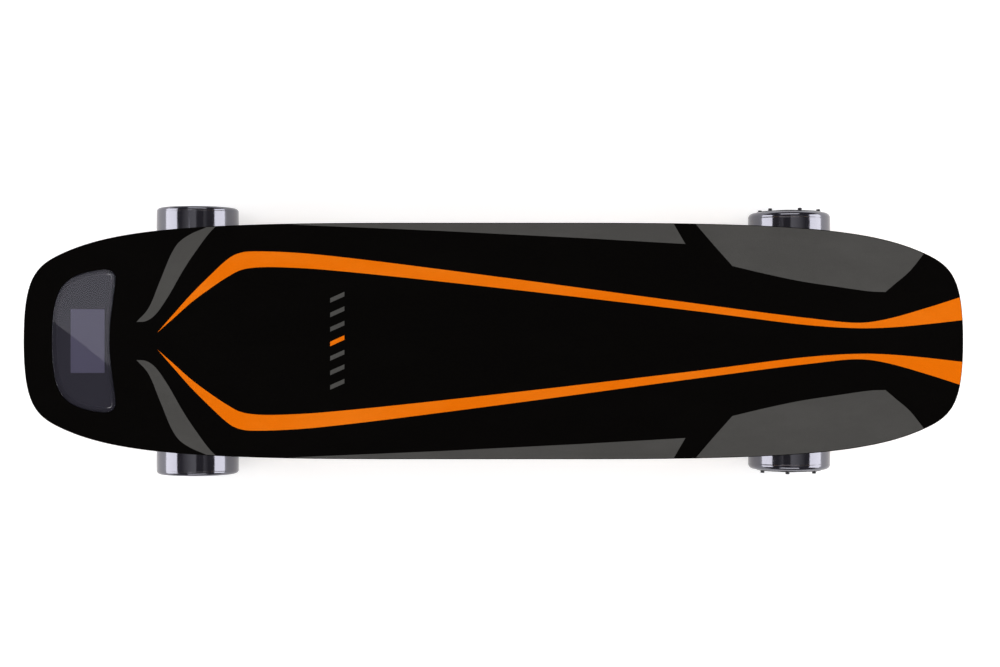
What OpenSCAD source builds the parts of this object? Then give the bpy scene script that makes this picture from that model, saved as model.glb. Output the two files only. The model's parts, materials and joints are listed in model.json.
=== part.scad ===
// Electric skateboard: plywood deck, two reverse-kingpin trucks, free front wheels,
// two rear hub motors, battery box, controller box and a display set into the nose.
// +X points to the tail, +Y to one side, +Z up. The origin is on the ground under the middle.

/* [Deck] */
// Length of the deck, nose to tail
deck_l = 940; // [920:10:1130]
// Widest width of the deck
deck_w = 236; // [226:2:284]
// Thickness of the glued plies
deck_t = 12.5; // [11:0.5:15]
// Width of the flat middle, between the raised rails
flat_w = 176; // [172:2:184]
// How far the rails rise over the flat middle
rail_rise = 5; // [0:0.5:7]
// Thickness of the printed grip sheet
grip_t = 1; // [0.8:0.1:1.2]

/* [Trucks] */
// Distance between the two axles
wheelbase = 618; // [600:2:640]
// Height of a baseplate's top face over its axle
truck_h = 66; // [65:1:80]
// Lean of the steering axis from the horizontal, in degrees
steer_angle = 45; // [43:1:47]
// Thickness of a riser pad
riser_t = 3; // [2:0.5:8]
// Spacing of the truck bolts along the deck
bolt_dx = 54; // [54:1:64]
// Spacing of the truck bolts across the deck
bolt_dy = 41.3; // [40:0.1:44]
// Diameter of the kingpin
kingpin_d = 9.5; // [8:0.5:10]
// Length of one bushing
bushing_l = 13.5; // [12.5:0.5:14.5]

/* [Wheels] */
// Outer diameter of all four wheels
wheel_d = 85; // [84:1:96]
// Width of a front wheel
wheel_w = 52; // [46:1:62]
// Distance between the outer faces of the front wheels
front_track = 277; // [260:1:332]
// Distance between the outer faces of the rear tyres
rear_track = 267; // [256:1:320]
// Width of a rear tyre
motor_w = 50; // [50:1:58]
// Diameter of the front axle
axle_d = 8; // [7:0.5:8]
// Diameter of the rear axle
rear_axle_d = 12; // [10:0.5:13]
// Outer radius of a motor's rotor can
can_r = 34; // [33:0.5:36]

/* [Electrics] */
// Diameter of a battery cell
cell_d = 18.4; // [18:0.1:20]
// Length of a battery cell
cell_l = 65; // [60:1:70]
// Length of the controller box inside
controller_l = 116; // [110:2:130]
// Room over the cells for the battery board
board_room = 6.6; // [6:0.2:9]
// Wall of the moulded boxes
box_wall = 3; // [2.5:0.5:4]
// Gap between the battery box and the controller box
box_gap = 16; // [12:1:20]

/* [Display] */
// Distance from the nose to the front edge of the window
window_inset = 28.5; // [26:0.5:34]
// Thickness of the window
lens_t = 2; // [1.5:0.5:2.5]
// Depth of the tray under the deck
tray_h = 9; // [8:1:14]

/* [Hidden] */
$fn = 64;
fit = 0.03;       // radial gap of a fixed fit
run = 0.05;       // radial gap of a running fit
slack = 0.5;      // gap round loose parts
eps = 0.01;       // overlap of two solids that are one
bite = 0.3;       // overlap of shapes joined inside one piece

// heights over the ground
axle_z = wheel_d / 2;
plate_z = axle_z + truck_h;            // top face of the baseplates
deck_z = plate_z + riser_t;            // underside of the deck's flat middle
top_z = deck_z + deck_t;               // top of the plies
sheet_z = top_z + grip_t;              // top of the grip sheet

// ---- deck ----
design_l = 940;                        // length the outline was drawn for
design_w = 236;                        // width the outline was drawn for
end_curve = [[0, 0], [0, 62], [11, 74.8], [37, 87]];
side_curve = [[37, 87], [87, 110.5], [161, 118], [376, 118]];
end_steps = 8;
side_steps = 12;
rail_steps = 6;

// point of a cubic curve through four control points
function bezier(p, t) =
  pow(1 - t, 3) * p[0] + 3 * pow(1 - t, 2) * t * p[1]
  + 3 * (1 - t) * t * t * p[2] + pow(t, 3) * p[3];

function curve(p, from, steps) = [for (i = [from:steps]) bezier(p, i / steps)];

function reversed(p) = [for (i = [len(p) - 1:-1:0]) p[i]];

function without_ends(p) = [for (i = [1:len(p) - 2]) p[i]];

// one quarter of the outline: distance from the end, then half width
quarter = [
  for (p = concat(curve(end_curve, 0, end_steps), curve(side_curve, 1, side_steps)))
    [p[0] * deck_l / design_l, p[1] * deck_w / design_w]
];

module deck_outline() {
  nose = [for (p = quarter) [p[0] - deck_l / 2, p[1]]];
  half = concat(nose, [for (p = reversed(nose)) [-p[0], p[1]]]);
  polygon(concat(half, [for (p = reversed(without_ends(half))) [p[0], -p[1]]]));
}

// height of the rails over the flat middle
function rail(y) =
  rail_rise * pow(max(0, abs(y) - flat_w / 2) / ((deck_w - flat_w) / 2), 2);

rail_reach = (deck_w - flat_w) / 2 + 1;
side_ys = [for (i = [0:rail_steps]) flat_w / 2 + i / rail_steps * rail_reach];
section_ys = concat([for (y = reversed(side_ys)) -y], side_ys);

module deck_section(low, high) {
  polygon(concat(
    [for (y = section_ys) [y, low + rail(y)]],
    [for (y = reversed(section_ys)) [y, high + rail(y)]]
  ));
}

// a layer of the deck between two heights, bent up along the rails
module deck_layer(low, high) {
  intersection() {
    linear_extrude(high + 2 * rail_rise + 1) deck_outline();
    rotate([90, 0, 90])
      linear_extrude(deck_l + 2, center = true) deck_section(low, high);
  }
}

// a rectangle with round corners
module rounded(l, w, r) {
  square([l - 2 * r, w], center = true);
  square([l, w - 2 * r], center = true);
  for (sx = [-1, 1], sy = [-1, 1])
    translate([sx * (l / 2 - r), sy * (w / 2 - r)]) circle(r);
}

module box(x0, x1, y0, y1, z0, z1) {
  translate([x0, y0, z0]) cube([x1 - x0, y1 - y0, z1 - z0]);
}

// a rod along Y from y0 to y1
module rod_y(x, z, y0, y1, r) {
  translate([x, y0, z]) rotate([-90, 0, 0]) cylinder(r = r, h = y1 - y0);
}

// ---- truck layout, for the tail truck; the nose truck is its mirror image ----
axle_s = 24;                           // axle's distance from the ring along the steering axis
axle_k = 15;                           // axle's distance below the steering axis
ring_half = 5;                         // half thickness of the hanger's ring
ring_r = 15;
plate_t = 6;
plate_l = 86;
plate_w = 60;
plate_back = 22;                       // axle to the middle of the baseplate
horn_from = 36;                        // start of the pivot horn along the steering axis
horn_to = 51;
horn_r = 12;
cup_r = 9.5;
nose_r = 7;
boss_r = 14;
rib_half = 10;
seat_k = ring_half + bushing_l;        // boardside bushing's seat in the baseplate
head_k = seat_k + 10;                  // underside of the kingpin's head
head_af = 14;
washer_r = 12.5;
washer_t = 2;
nut_t = 8;
bolt_r = 2.4;
bolt_head_r = 4.2;
insert_r = 4;
insert_depth = 9;
ca = cos(steer_angle);
sa = sin(steer_angle);
axle_x = wheelbase / 2;
ring_x = axle_x + axle_s * ca - axle_k * sa;
ring_z = axle_z + axle_s * sa + axle_k * ca;
plate_x = axle_x - plate_back;         // middle of the baseplate
pocket_x = ring_x - (plate_z - ring_z) * sa / ca;   // kingpin line at the plate's top

// from the truck's slanted frame to the side view
function side(lx, lz) = [ring_x + lx * ca - lz * sa, ring_z + lx * sa + lz * ca];

// slanted frame: X up the steering axis, Z up the kingpin, origin in the ring
module on_ring() {
  translate([ring_x, 0, ring_z]) rotate([0, -steer_angle, 0]) children();
}

// both trucks
module both_ends() {
  children();
  mirror([1, 0, 0]) children();
}

module at_bolts() {
  for (sx = [-1, 1], sy = [-1, 1])
    translate([plate_x + sx * bolt_dx / 2, sy * bolt_dy / 2, 0]) children();
}

// ---- display ----
window_l = 63.5;
window_half = 71.5;
window_x = -deck_l / 2 + window_inset;
gasket_t = 0.8;
ledge = 4;                             // width of the window's seat in the deck
lens_z = sheet_z - lens_t;
lcd_l = 34;
lcd_w = 64;
lcd_x = window_x + 35;
lcd_z = lens_z - 4.4;                  // underside of the panel
pcb_t = 1.6;
display_pcb_z = deck_z - 2.4;
tray_wall = 2;
tray_l = 52;
tray_w = 118;
tray_x = window_x + 31;

// half outline of the window, grown outwards by g
function window_half_line(g) = concat(
  curve([[-g, 0], [-g, 54], [10 - g, 67 + g], [52, 71.5 + g]], 0, 8),
  curve([[52, 71.5 + g], [58, 71.5 + g], [63.5 + g, 69 + g / 2], [63.5 + g, 62]], 1, 4),
  curve([[63.5 + g, 62], [62.5 + g, 45], [57.5 + g, 25], [57.5 + g, 0]], 1, 5)
);

module window_outline(g) {
  half = window_half_line(g);
  translate([window_x, 0])
    polygon(concat(half, [for (p = reversed(without_ends(half))) [p[0], -p[1]]]));
}

// ---- boxes under the deck ----
cell_pitch = cell_d + 0.3;
rows = 10;
pack_l = rows * cell_pitch;
battery_l = pack_l + 30;               // inside length of the battery box
inner_w = 2 * cell_l + 16;             // inside width of both boxes
flange = 10;
box_r = 10;                            // outer corner of the boxes' walls
flange_t = 3;
box_gasket_t = 1;
foam_t = 2;                            // pads under the cells
box_h = box_wall + foam_t + cell_d + board_room;     // depth of both boxes
boxes_l = battery_l + controller_l + 4 * box_wall + 4 * flange + box_gap;
boxes_shift = -14;
battery_x0 = -boxes_l / 2 + boxes_shift;             // front edge of the front flange
battery_x1 = battery_x0 + battery_l + 2 * box_wall + 2 * flange;
controller_x0 = battery_x1 + box_gap;
controller_x1 = controller_x0 + controller_l + 2 * box_wall + 2 * flange;
battery_mid = (battery_x0 + battery_x1) / 2;
controller_mid = (controller_x0 + controller_x1) / 2;
box_top = deck_z - box_gasket_t;
box_floor = box_top - box_h;           // outside of the floor
wall_y = inner_w / 2 + box_wall;       // outside of a side wall
screw_r = 2;
cell_z = box_floor + box_wall + foam_t + cell_d / 2;
cells_x = battery_x0 + flange + box_wall + 4;        // front of the pack
harness_r = 2.5;
harness_y = 9;
groove_w = 30;
groove_h = 6;
ribbon_w = 12;
ribbon_groove_h = 2;
ribbon_y = 0;
button_z = box_floor + box_h / 2 - 1;
button_r = 6;
button_travel = 2;
switch_r = 9;
button_x = battery_x1 - flange - box_r - switch_r - slack;   // clear of the corner and the cells
socket_x = controller_x0 + flange + box_wall + 22;
socket_r = 8;
cap_t = 2.5;
hinge_x = socket_x + socket_r + 4;      // upright pin of the charge cap
hinge_y = wall_y + 3.7;
gland_y = 52;
gland_z = box_floor + 12;
gland_r = 5;
gland_tip = 10;
gland_wall = controller_x1 - flange;   // outside of the controller box's rear wall
lead_r = 3.5;
lead_stiff = 44;                       // how far a lead keeps its direction at each end
lead_boss_l = 16;
sink_l = 84;
sink_w = 110;
fin_h = 5;

module deck() {
  color([0.62, 0.45, 0.28]) difference() {
    deck_layer(deck_z, top_z);
    // seat and well of the display
    translate([0, 0, lens_z - gasket_t]) linear_extrude(20) window_outline(0.2);
    translate([0, 0, deck_z - 1]) linear_extrude(30) window_outline(-ledge);
    // ribbon groove from the display to the battery box
    box(window_x + window_l - ledge - 6, battery_x0 + flange + box_wall + 8,
        ribbon_y - ribbon_w / 2 - 1, ribbon_y + ribbon_w / 2 + 1,
        deck_z - 1, deck_z + ribbon_groove_h);
    // cable groove between the boxes
    box(battery_x1 - flange - box_wall - 12, controller_x0 + flange + box_wall + 12,
        -groove_w / 2, groove_w / 2, deck_z - 1, deck_z + groove_h);
    both_ends() at_bolts() translate([0, 0, deck_z - 1])
      cylinder(r = insert_r + fit, h = insert_depth + 1);
    at_box_screws() translate([0, 0, deck_z - 1]) cylinder(r = screw_r + fit, h = 8);
    at_tray_screws() translate([0, 0, deck_z - 1]) cylinder(r = 1.5 + fit, h = 7);
  }
}

module grip_sheet() {
  color([0.05, 0.05, 0.05]) difference() {
    deck_layer(top_z, sheet_z);
    translate([0, 0, top_z - 1]) linear_extrude(20) window_outline(0.2);
  }
}

module deck_inserts() {
  color([0.75, 0.6, 0.3]) both_ends() at_bolts() translate([0, 0, deck_z]) difference() {
    cylinder(r = insert_r, h = insert_depth);
    translate([0, 0, -1]) cylinder(r = bolt_r + fit, h = insert_depth + 2);
  }
}

module truck_bolts() {
  low = plate_z - plate_t;
  color([0.3, 0.3, 0.32]) both_ends() at_bolts() {
    translate([0, 0, low - 4.5]) difference() {
      cylinder(r = bolt_head_r, h = 4.5);
      translate([0, 0, -1]) cylinder(r = 2.3, h = 3.5, $fn = 6);
    }
    translate([0, 0, low - eps]) cylinder(r = bolt_r, h = deck_z + insert_depth - 1 - low);
  }
}

// plan of a baseplate, with the kingpin's pocket left open
module plate_plan() {
  difference() {
    translate([plate_x, 0]) rounded(plate_l, plate_w, 9);
    at_bolts() circle(bolt_r + 0.3);
  }
}

module riser_pads() {
  color([0.08, 0.08, 0.08]) both_ends() translate([0, 0, plate_z])
    linear_extrude(riser_t) difference() {
      plate_plan();
      translate([pocket_x, 0]) rounded(34, 22, 5);
    }
}

module truck_baseplates() {
  color([0.12, 0.12, 0.13]) both_ends() difference() {
    union() {
      translate([0, 0, plate_z - plate_t]) linear_extrude(plate_t) plate_plan();
      // rib that carries the bushing seat and the pivot horn
      rotate([90, 0, 0]) linear_extrude(2 * rib_half, center = true) polygon([
        [plate_x - plate_l / 2 + 9, plate_z - plate_t + bite],
        side(-horn_to + 2, 9),
        side(-horn_from, 9),
        side(-boss_r - 1, 14),
        side(-boss_r - 1, seat_k),
        side(boss_r - 1, seat_k),
        [plate_x + plate_l / 2 - 6, plate_z - plate_t + bite]
      ]);
      intersection() {
        on_ring() translate([0, 0, seat_k]) cylinder(r = boss_r, h = 60);
        box(0, deck_l, -plate_w, plate_w, 0, plate_z);
      }
      on_ring() translate([-horn_to, 0, 0]) rotate([0, 90, 0])
        cylinder(r = horn_r, h = horn_to - horn_from);
    }
    on_ring() {
      cylinder(r = kingpin_d / 2 + fit, h = 80);
      translate([0, 0, head_k]) cylinder(r = head_af / sqrt(3) + 0.2, h = 60, $fn = 6);
      translate([-horn_to + 3, 0, 0]) rotate([0, 90, 0]) cylinder(r = cup_r + fit, h = 20);
    }
  }
}

module kingpins() {
  tip = seat_k + washer_t + nut_t + 4;
  color([0.6, 0.6, 0.62]) both_ends() on_ring() {
    translate([0, 0, head_k]) cylinder(r = head_af / sqrt(3), h = 6, $fn = 6);
    translate([0, 0, -tip]) cylinder(r = kingpin_d / 2, h = tip + head_k + 1);
  }
}

module kingpin_nuts() {
  color([0.7, 0.7, 0.72]) both_ends() on_ring()
    translate([0, 0, -seat_k - washer_t - nut_t]) difference() {
      cylinder(r = 14 / sqrt(3), h = nut_t, $fn = 6);
      translate([0, 0, -1]) cylinder(r = kingpin_d / 2 + fit, h = nut_t + 2);
    }
}

module bushing_washers() {
  color([0.7, 0.7, 0.72]) both_ends() on_ring() translate([0, 0, -seat_k - washer_t])
    difference() {
      cylinder(r = washer_r, h = washer_t);
      translate([0, 0, -1]) cylinder(r = kingpin_d / 2 + fit, h = washer_t + 2);
    }
}

// the two bushings of one truck: a barrel above the ring and a cone below it
module bushing_pair() {
  hole = kingpin_d / 2 + 0.2;
  on_ring() {
    translate([0, 0, ring_half]) difference() {
      cylinder(r = 13, h = bushing_l);
      translate([0, 0, -1]) cylinder(r = hole, h = bushing_l + 2);
    }
    translate([0, 0, -seat_k]) rotate_extrude() polygon([
      [hole, 0], [11, 0], [12.4, 3], [12.8, bushing_l], [hole, bushing_l]
    ]);
  }
}

module front_bushings() {
  color([0.85, 0.35, 0.1]) mirror([1, 0, 0]) bushing_pair();
}

module rear_bushings() {
  color([0.85, 0.35, 0.1]) bushing_pair();
}

module pivot_cups() {
  color([0.9, 0.9, 0.88]) both_ends() on_ring() translate([-horn_to + 3, 0, 0])
    rotate([0, 90, 0]) difference() {
      cylinder(r = cup_r, h = 11);
      translate([0, 0, 1.5]) cylinder(r = nose_r + run, h = 20);
    }
}

// hanger of one truck; reach is the half length of its beam, bore the axle's radius
module hanger(reach, bore) {
  on_ring() difference() {
    union() {
      translate([0, 0, -ring_half]) cylinder(r = ring_r, h = 2 * ring_half);
      // neck and pivot nose on the steering axis
      translate([-horn_from + 1, 0, 0]) rotate([0, 90, 0])
        cylinder(r = 8, h = horn_from - ring_r);
      translate([-horn_to + 5.2, 0, 0]) rotate([0, 90, 0])
        cylinder(r = nose_r, h = horn_to - horn_from);
      // web from the ring down to the beam
      translate([0, 0, -4]) linear_extrude(8) polygon([
        [-ring_r + 4, 10], [-axle_s - 8, 34], [-axle_s - 8, -34], [-ring_r + 4, -10]
      ]);
      rotate([90, 0, 0]) linear_extrude(68, center = true) polygon([
        [-axle_s - 9, 0], [-axle_s + 7, 0], [-axle_s + 8, -axle_k], [-axle_s - 9, -axle_k]
      ]);
      // tapered beam round the axle
      translate([-axle_s, 0, -axle_k]) rotate([90, 0, 0]) rotate_extrude() polygon([
        [0, -reach], [9.5, -reach], [9.5, -reach + 12], [11, -30], [11, 30],
        [9.5, reach - 12], [9.5, reach], [0, reach]
      ]);
    }
    translate([0, 0, -20]) cylinder(r = kingpin_d / 2 + 2, h = 40);
    translate([-axle_s, 0, -axle_k]) rotate([90, 0, 0])
      cylinder(r = bore + fit, h = 2 * reach + 2, center = true);
    // room for the roadside bushing as it leans
    translate([0, 0, -seat_k - 3]) cylinder(r = 13.4, h = bushing_l + 3);
  }
}

// ---- front wheels ----
front_mid = front_track / 2 - wheel_w / 2;           // middle of a front wheel
race_r = 6;                            // outer radius of the inner race
bearing_r = 11;
bearing_w = 7;
spacer_half = 5;
core_r = 23;
core_half = 14;
front_reach = front_mid - spacer_half - bearing_w - 0.6;
axle_r = axle_d / 2;
left = -1;
right = 1;

// puts a wheel drawn about Z, outer face up, on its axle
module on_axle(end, hand, mid) {
  translate([end * axle_x, hand * mid, axle_z]) rotate([-90 * hand, 0, 0]) children();
}

module tyre_profile(inner, half, lip) {
  outer = wheel_d / 2;
  translate([inner, -half]) square([outer - lip - inner, 2 * half]);
  translate([inner, -half + lip]) square([outer - inner, 2 * (half - lip)]);
  intersection() {
    for (s = [-1, 1]) translate([outer - lip, s * (half - lip)]) circle(lip);
    translate([inner, -half]) square([outer - inner, 2 * half]);
  }
}

module front_tyre(hand) {
  half = wheel_w / 2;
  color([0.04, 0.04, 0.04]) on_axle(-1, hand, front_mid) rotate_extrude() difference() {
    tyre_profile(core_r + fit, half, 4);
    for (s = [0, 1]) mirror([0, s]) polygon([
      [core_r - 1, core_half], [core_r + 2, core_half], [core_r + 10, half - 1.5],
      [core_r + 12, half - 0.6], [core_r + 12, half + 1], [core_r - 1, half + 1]
    ]);
  }
}

module front_core(hand) {
  color([0.15, 0.15, 0.16]) on_axle(-1, hand, front_mid) {
    difference() {
      cylinder(r = core_r, h = 2 * core_half, center = true);
      for (s = [-1, 1]) translate([0, 0, s * (core_half - 3)])
        cylinder(r = core_r - 3, h = 8 + eps, center = true);
      for (i = [0:5]) rotate(60 * i) translate([16.8, 0, 0])
        cylinder(r = 2.6, h = 60, center = true);
      cylinder(r = bearing_r - 2, h = 60, center = true);
      for (s = [-1, 1]) translate([0, 0, s * (spacer_half + 20)])
        cylinder(r = bearing_r + fit, h = 40, center = true);
    }
    // hub that holds the bearings
    for (s = [0, 1]) mirror([0, 0, s]) translate([0, 0, 6]) difference() {
      cylinder(r = 14, h = spacer_half + bearing_w - 6);
      translate([0, 0, -1]) cylinder(r = bearing_r + fit, h = 20);
    }
  }
}

module front_bearings(hand) {
  color([0.75, 0.75, 0.77]) on_axle(-1, hand, front_mid)
    for (s = [0, 1]) mirror([0, 0, s]) translate([0, 0, spacer_half]) difference() {
      cylinder(r = bearing_r, h = bearing_w);
      translate([0, 0, -1]) cylinder(r = race_r + run, h = bearing_w + 2);
      translate([0, 0, bearing_w - 0.5]) difference() {
        cylinder(r = 9.6, h = 1);
        translate([0, 0, -1]) cylinder(r = 7.4, h = 3);
      }
    }
}

module front_left_tyre() { front_tyre(left); }
module front_right_tyre() { front_tyre(right); }
module front_left_core() { front_core(left); }
module front_right_core() { front_core(right); }
module front_left_bearings() { front_bearings(left); }
module front_right_bearings() { front_bearings(right); }

// inner races and the spacer between them, clamped on the axle
module front_inner_races() {
  reach = spacer_half + bearing_w;
  color([0.7, 0.7, 0.72]) for (hand = [left, right]) on_axle(-1, hand, front_mid)
    difference() {
      union() {
        cylinder(r = race_r - 0.6, h = 2 * spacer_half, center = true);
        for (s = [0, 1]) mirror([0, 0, s]) translate([0, 0, spacer_half])
          cylinder(r = race_r, h = bearing_w);
        for (s = [0, 1]) mirror([0, 0, s]) translate([0, 0, reach - eps])
          cylinder(r = race_r - 0.4, h = 0.6);
      }
      cylinder(r = axle_r + fit, h = 60, center = true);
    }
}

module front_axle() {
  tip = front_mid + spacer_half + bearing_w + 9.5;
  color([0.65, 0.65, 0.67]) rod_y(-axle_x, axle_z, -tip, tip, axle_r);
}

module front_axle_nuts() {
  color([0.7, 0.7, 0.72]) for (hand = [left, right]) on_axle(-1, hand, front_mid)
    translate([0, 0, spacer_half + bearing_w + 0.6]) difference() {
      union() {
        cylinder(r = 13 / sqrt(3), h = 6.5, $fn = 6);
        translate([0, 0, 6]) cylinder(r = 5.6, h = 2);
      }
      translate([0, 0, -1]) cylinder(r = axle_r + fit, h = 20);
    }
}

module front_hanger() {
  color([0.12, 0.12, 0.13]) mirror([1, 0, 0]) hanger(front_reach, axle_r);
}

// ---- rear hub motors ----
rear_mid = rear_track / 2 - motor_w / 2;             // middle of a motor
motor_half = motor_w / 2;
can_wall = 2.5;
magnet_t = 3;
air_gap = 0.6;
stator_r = can_r - can_wall - magnet_t - air_gap;
stator_half = 11;
teeth = 12;
poles = 14;
hub_r = 12;
rear_axle_r = rear_axle_d / 2;
rear_race_r = 9;
rear_bearing_r = 14;
rear_bearing_w = 8;
end_t = 4;
cover_t = 3;
cap_r = 12;
screw_circle = can_r - 3.5;
rear_reach = rear_mid - motor_half - 2.5;
lead_boss_y = rear_reach - 14;

module rear_tyre(hand) {
  color([0.04, 0.04, 0.04]) on_axle(1, hand, rear_mid) rotate_extrude()
    tyre_profile(can_r + fit, motor_half, 5);
}

module rear_can(hand) {
  color([0.2, 0.2, 0.21]) on_axle(1, hand, rear_mid) difference() {
    translate([0, 0, -motor_half + 0.5]) cylinder(r = can_r, h = 2 * motor_half - 0.5);
    translate([0, 0, -motor_half + 0.5 + end_t]) cylinder(r = can_r - can_wall, h = motor_w);
    cylinder(r = rear_bearing_r + fit, h = 2 * motor_w, center = true);
    translate([0, 0, motor_half - 3]) cylinder(r = can_r - can_wall + 0.8, h = 10);
  }
  // seat of the inner bearing
  color([0.2, 0.2, 0.21]) on_axle(1, hand, rear_mid)
    translate([0, 0, -motor_half + 0.5 + end_t - bite]) difference() {
      cylinder(r = rear_bearing_r + 2.5, h = rear_bearing_w - end_t + bite);
      translate([0, 0, -1]) cylinder(r = rear_bearing_r + fit, h = 20);
    }
}

module rear_magnets(hand) {
  step = 360 / poles;
  outer = can_r - can_wall - fit;
  color([0.55, 0.55, 0.57]) on_axle(1, hand, rear_mid)
    for (i = [0:poles - 1]) rotate(step * i) translate([0, 0, -stator_half - 1])
      rotate_extrude(angle = step * 0.86)
        translate([outer - magnet_t, 0]) square([magnet_t, 2 * stator_half + 2]);
}

module rear_cover(hand) {
  seat = motor_half - rear_bearing_w - 0.5;
  color([0.1, 0.1, 0.11]) on_axle(1, hand, rear_mid) {
    difference() {
      union() {
        translate([0, 0, motor_half]) cylinder(r = can_r - 0.5, h = 1.2);
        translate([0, 0, motor_half]) cylinder(r = cap_r, h = cover_t);
        translate([0, 0, seat]) cylinder(r = rear_bearing_r + 2.5, h = rear_bearing_w + 1);
        translate([0, 0, motor_half - 3]) cylinder(r = can_r - can_wall + 0.8 - fit, h = 3 + bite);
      }
      translate([0, 0, seat - 1]) cylinder(r = rear_bearing_r + fit, h = rear_bearing_w + 1);
    }
    for (i = [0:5]) rotate(60 * i + 42) translate([screw_circle, 0, motor_half + 1])
      cylinder(r = 2.1, h = 2.6);
  }
}

module rear_bearings(hand) {
  color([0.75, 0.75, 0.77]) on_axle(1, hand, rear_mid) {
    for (z = [-motor_half + 0.5, motor_half - rear_bearing_w - 0.5])
      translate([0, 0, z]) difference() {
        cylinder(r = rear_bearing_r, h = rear_bearing_w);
        translate([0, 0, -1]) cylinder(r = rear_race_r + run, h = rear_bearing_w + 2);
      }
  }
}

module rear_left_tyre() { rear_tyre(left); }
module rear_right_tyre() { rear_tyre(right); }
module rear_left_can() { rear_can(left); }
module rear_right_can() { rear_can(right); }
module rear_left_magnets() { rear_magnets(left); }
module rear_right_magnets() { rear_magnets(right); }
module rear_left_cover() { rear_cover(left); }
module rear_right_cover() { rear_cover(right); }
module rear_left_bearings() { rear_bearings(left); }
module rear_right_bearings() { rear_bearings(right); }

module rear_inner_races() {
  color([0.7, 0.7, 0.72]) for (hand = [left, right]) on_axle(1, hand, rear_mid)
    for (z = [-motor_half + 0.5, motor_half - rear_bearing_w - 0.5])
      translate([0, 0, z]) difference() {
        cylinder(r = rear_race_r, h = rear_bearing_w);
        translate([0, 0, -1]) cylinder(r = rear_axle_r + fit, h = rear_bearing_w + 2);
      }
}

module rear_axle() {
  tip = rear_mid + motor_half - 1;
  color([0.65, 0.65, 0.67]) rod_y(axle_x, axle_z, -tip, tip, rear_axle_r);
}

module rear_hanger() {
  color([0.12, 0.12, 0.13]) {
    hanger(rear_reach, rear_axle_r);
    // bosses where the motor cables go in
    for (s = [-1, 1]) translate([axle_x - lead_boss_l, s * lead_boss_y, axle_z])
      rotate([0, 90, 0]) cylinder(r = 5.5, h = lead_boss_l - rear_axle_r - 1);
  }
}

// laminated cores with their teeth
module stators() {
  color([0.5, 0.5, 0.52]) for (hand = [left, right]) on_axle(1, hand, rear_mid)
    translate([0, 0, -stator_half]) difference() {
      union() {
        cylinder(r = hub_r, h = 2 * stator_half);
        for (i = [0:teeth - 1]) rotate(360 / teeth * i) {
          translate([hub_r - 1, -1.6, 0]) cube([stator_r - hub_r - 1, 3.2, 2 * stator_half]);
          intersection() {
            translate([stator_r - 2.6, -5.6, 0]) cube([2.6, 11.2, 2 * stator_half]);
            cylinder(r = stator_r, h = 2 * stator_half);
          }
        }
      }
      translate([0, 0, -1]) cylinder(r = rear_axle_r + fit, h = 2 * stator_half + 2);
    }
}

// copper coils, one round each tooth
module stator_coils() {
  from = hub_r + 1;
  to = stator_r - 2.9;
  color([0.75, 0.4, 0.15]) for (hand = [left, right]) on_axle(1, hand, rear_mid)
    for (i = [0:teeth - 1]) rotate(360 / teeth * i) difference() {
      translate([from, -2.8, -stator_half - 2]) cube([to - from, 5.6, 2 * stator_half + 4]);
      translate([0, -1.6 - fit, -stator_half - fit])
        cube([40, 3.2 + 2 * fit, 2 * stator_half + 2 * fit]);
    }
}

// ---- display parts ----
module display_window() {
  color([0.25, 0.25, 0.3, 0.5]) translate([0, 0, lens_z])
    linear_extrude(lens_t) window_outline(0);
}

module display_gasket() {
  color([0.05, 0.05, 0.05]) translate([0, 0, lens_z - gasket_t])
    linear_extrude(gasket_t) difference() {
      window_outline(0);
      window_outline(-ledge + 1);
    }
}

module lcd_panel() {
  color([0.3, 0.3, 0.4]) translate([lcd_x, 0, lcd_z + 2]) {
    cube([lcd_l, lcd_w, 4], center = true);
  }
}

module lcd_frame() {
  low = lcd_z + 1;
  color([0.06, 0.06, 0.07]) {
    translate([0, 0, low]) linear_extrude(2.4) difference() {
      window_outline(-ledge - 0.6);
      translate([lcd_x, 0]) square([lcd_l + 0.2, lcd_w + 0.2], center = true);
    }
    for (sx = [-1, 1], sy = [-1, 1])
      translate([tray_x + 2 + sx * 16, sy * 44, display_pcb_z + pcb_t])
        cylinder(r = 2, h = low - display_pcb_z - pcb_t + bite);
  }
}

module display_board() {
  color([0.05, 0.3, 0.15]) {
    translate([tray_x, 0, display_pcb_z + pcb_t / 2]) cube([44, 106, pcb_t], center = true);
    box(lcd_x - 14, lcd_x - 10, -24, 24, display_pcb_z + pcb_t - eps, lcd_z);
    box(lcd_x + 10, lcd_x + 14, -24, 24, display_pcb_z + pcb_t - eps, lcd_z);
    box(tray_x - 10, tray_x + 2, 26, 38, display_pcb_z + pcb_t - eps, display_pcb_z + 3.2);
    box(tray_x - 8, tray_x + 4, -42, -34, display_pcb_z + pcb_t - eps, display_pcb_z + 3.2);
  }
}

module at_tray_screws() {
  for (sx = [-1, 1], sy = [-1, 1])
    translate([tray_x + sx * (tray_l / 2 - 6), sy * (tray_w / 2 + 4.5), 0]) children();
}

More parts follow.
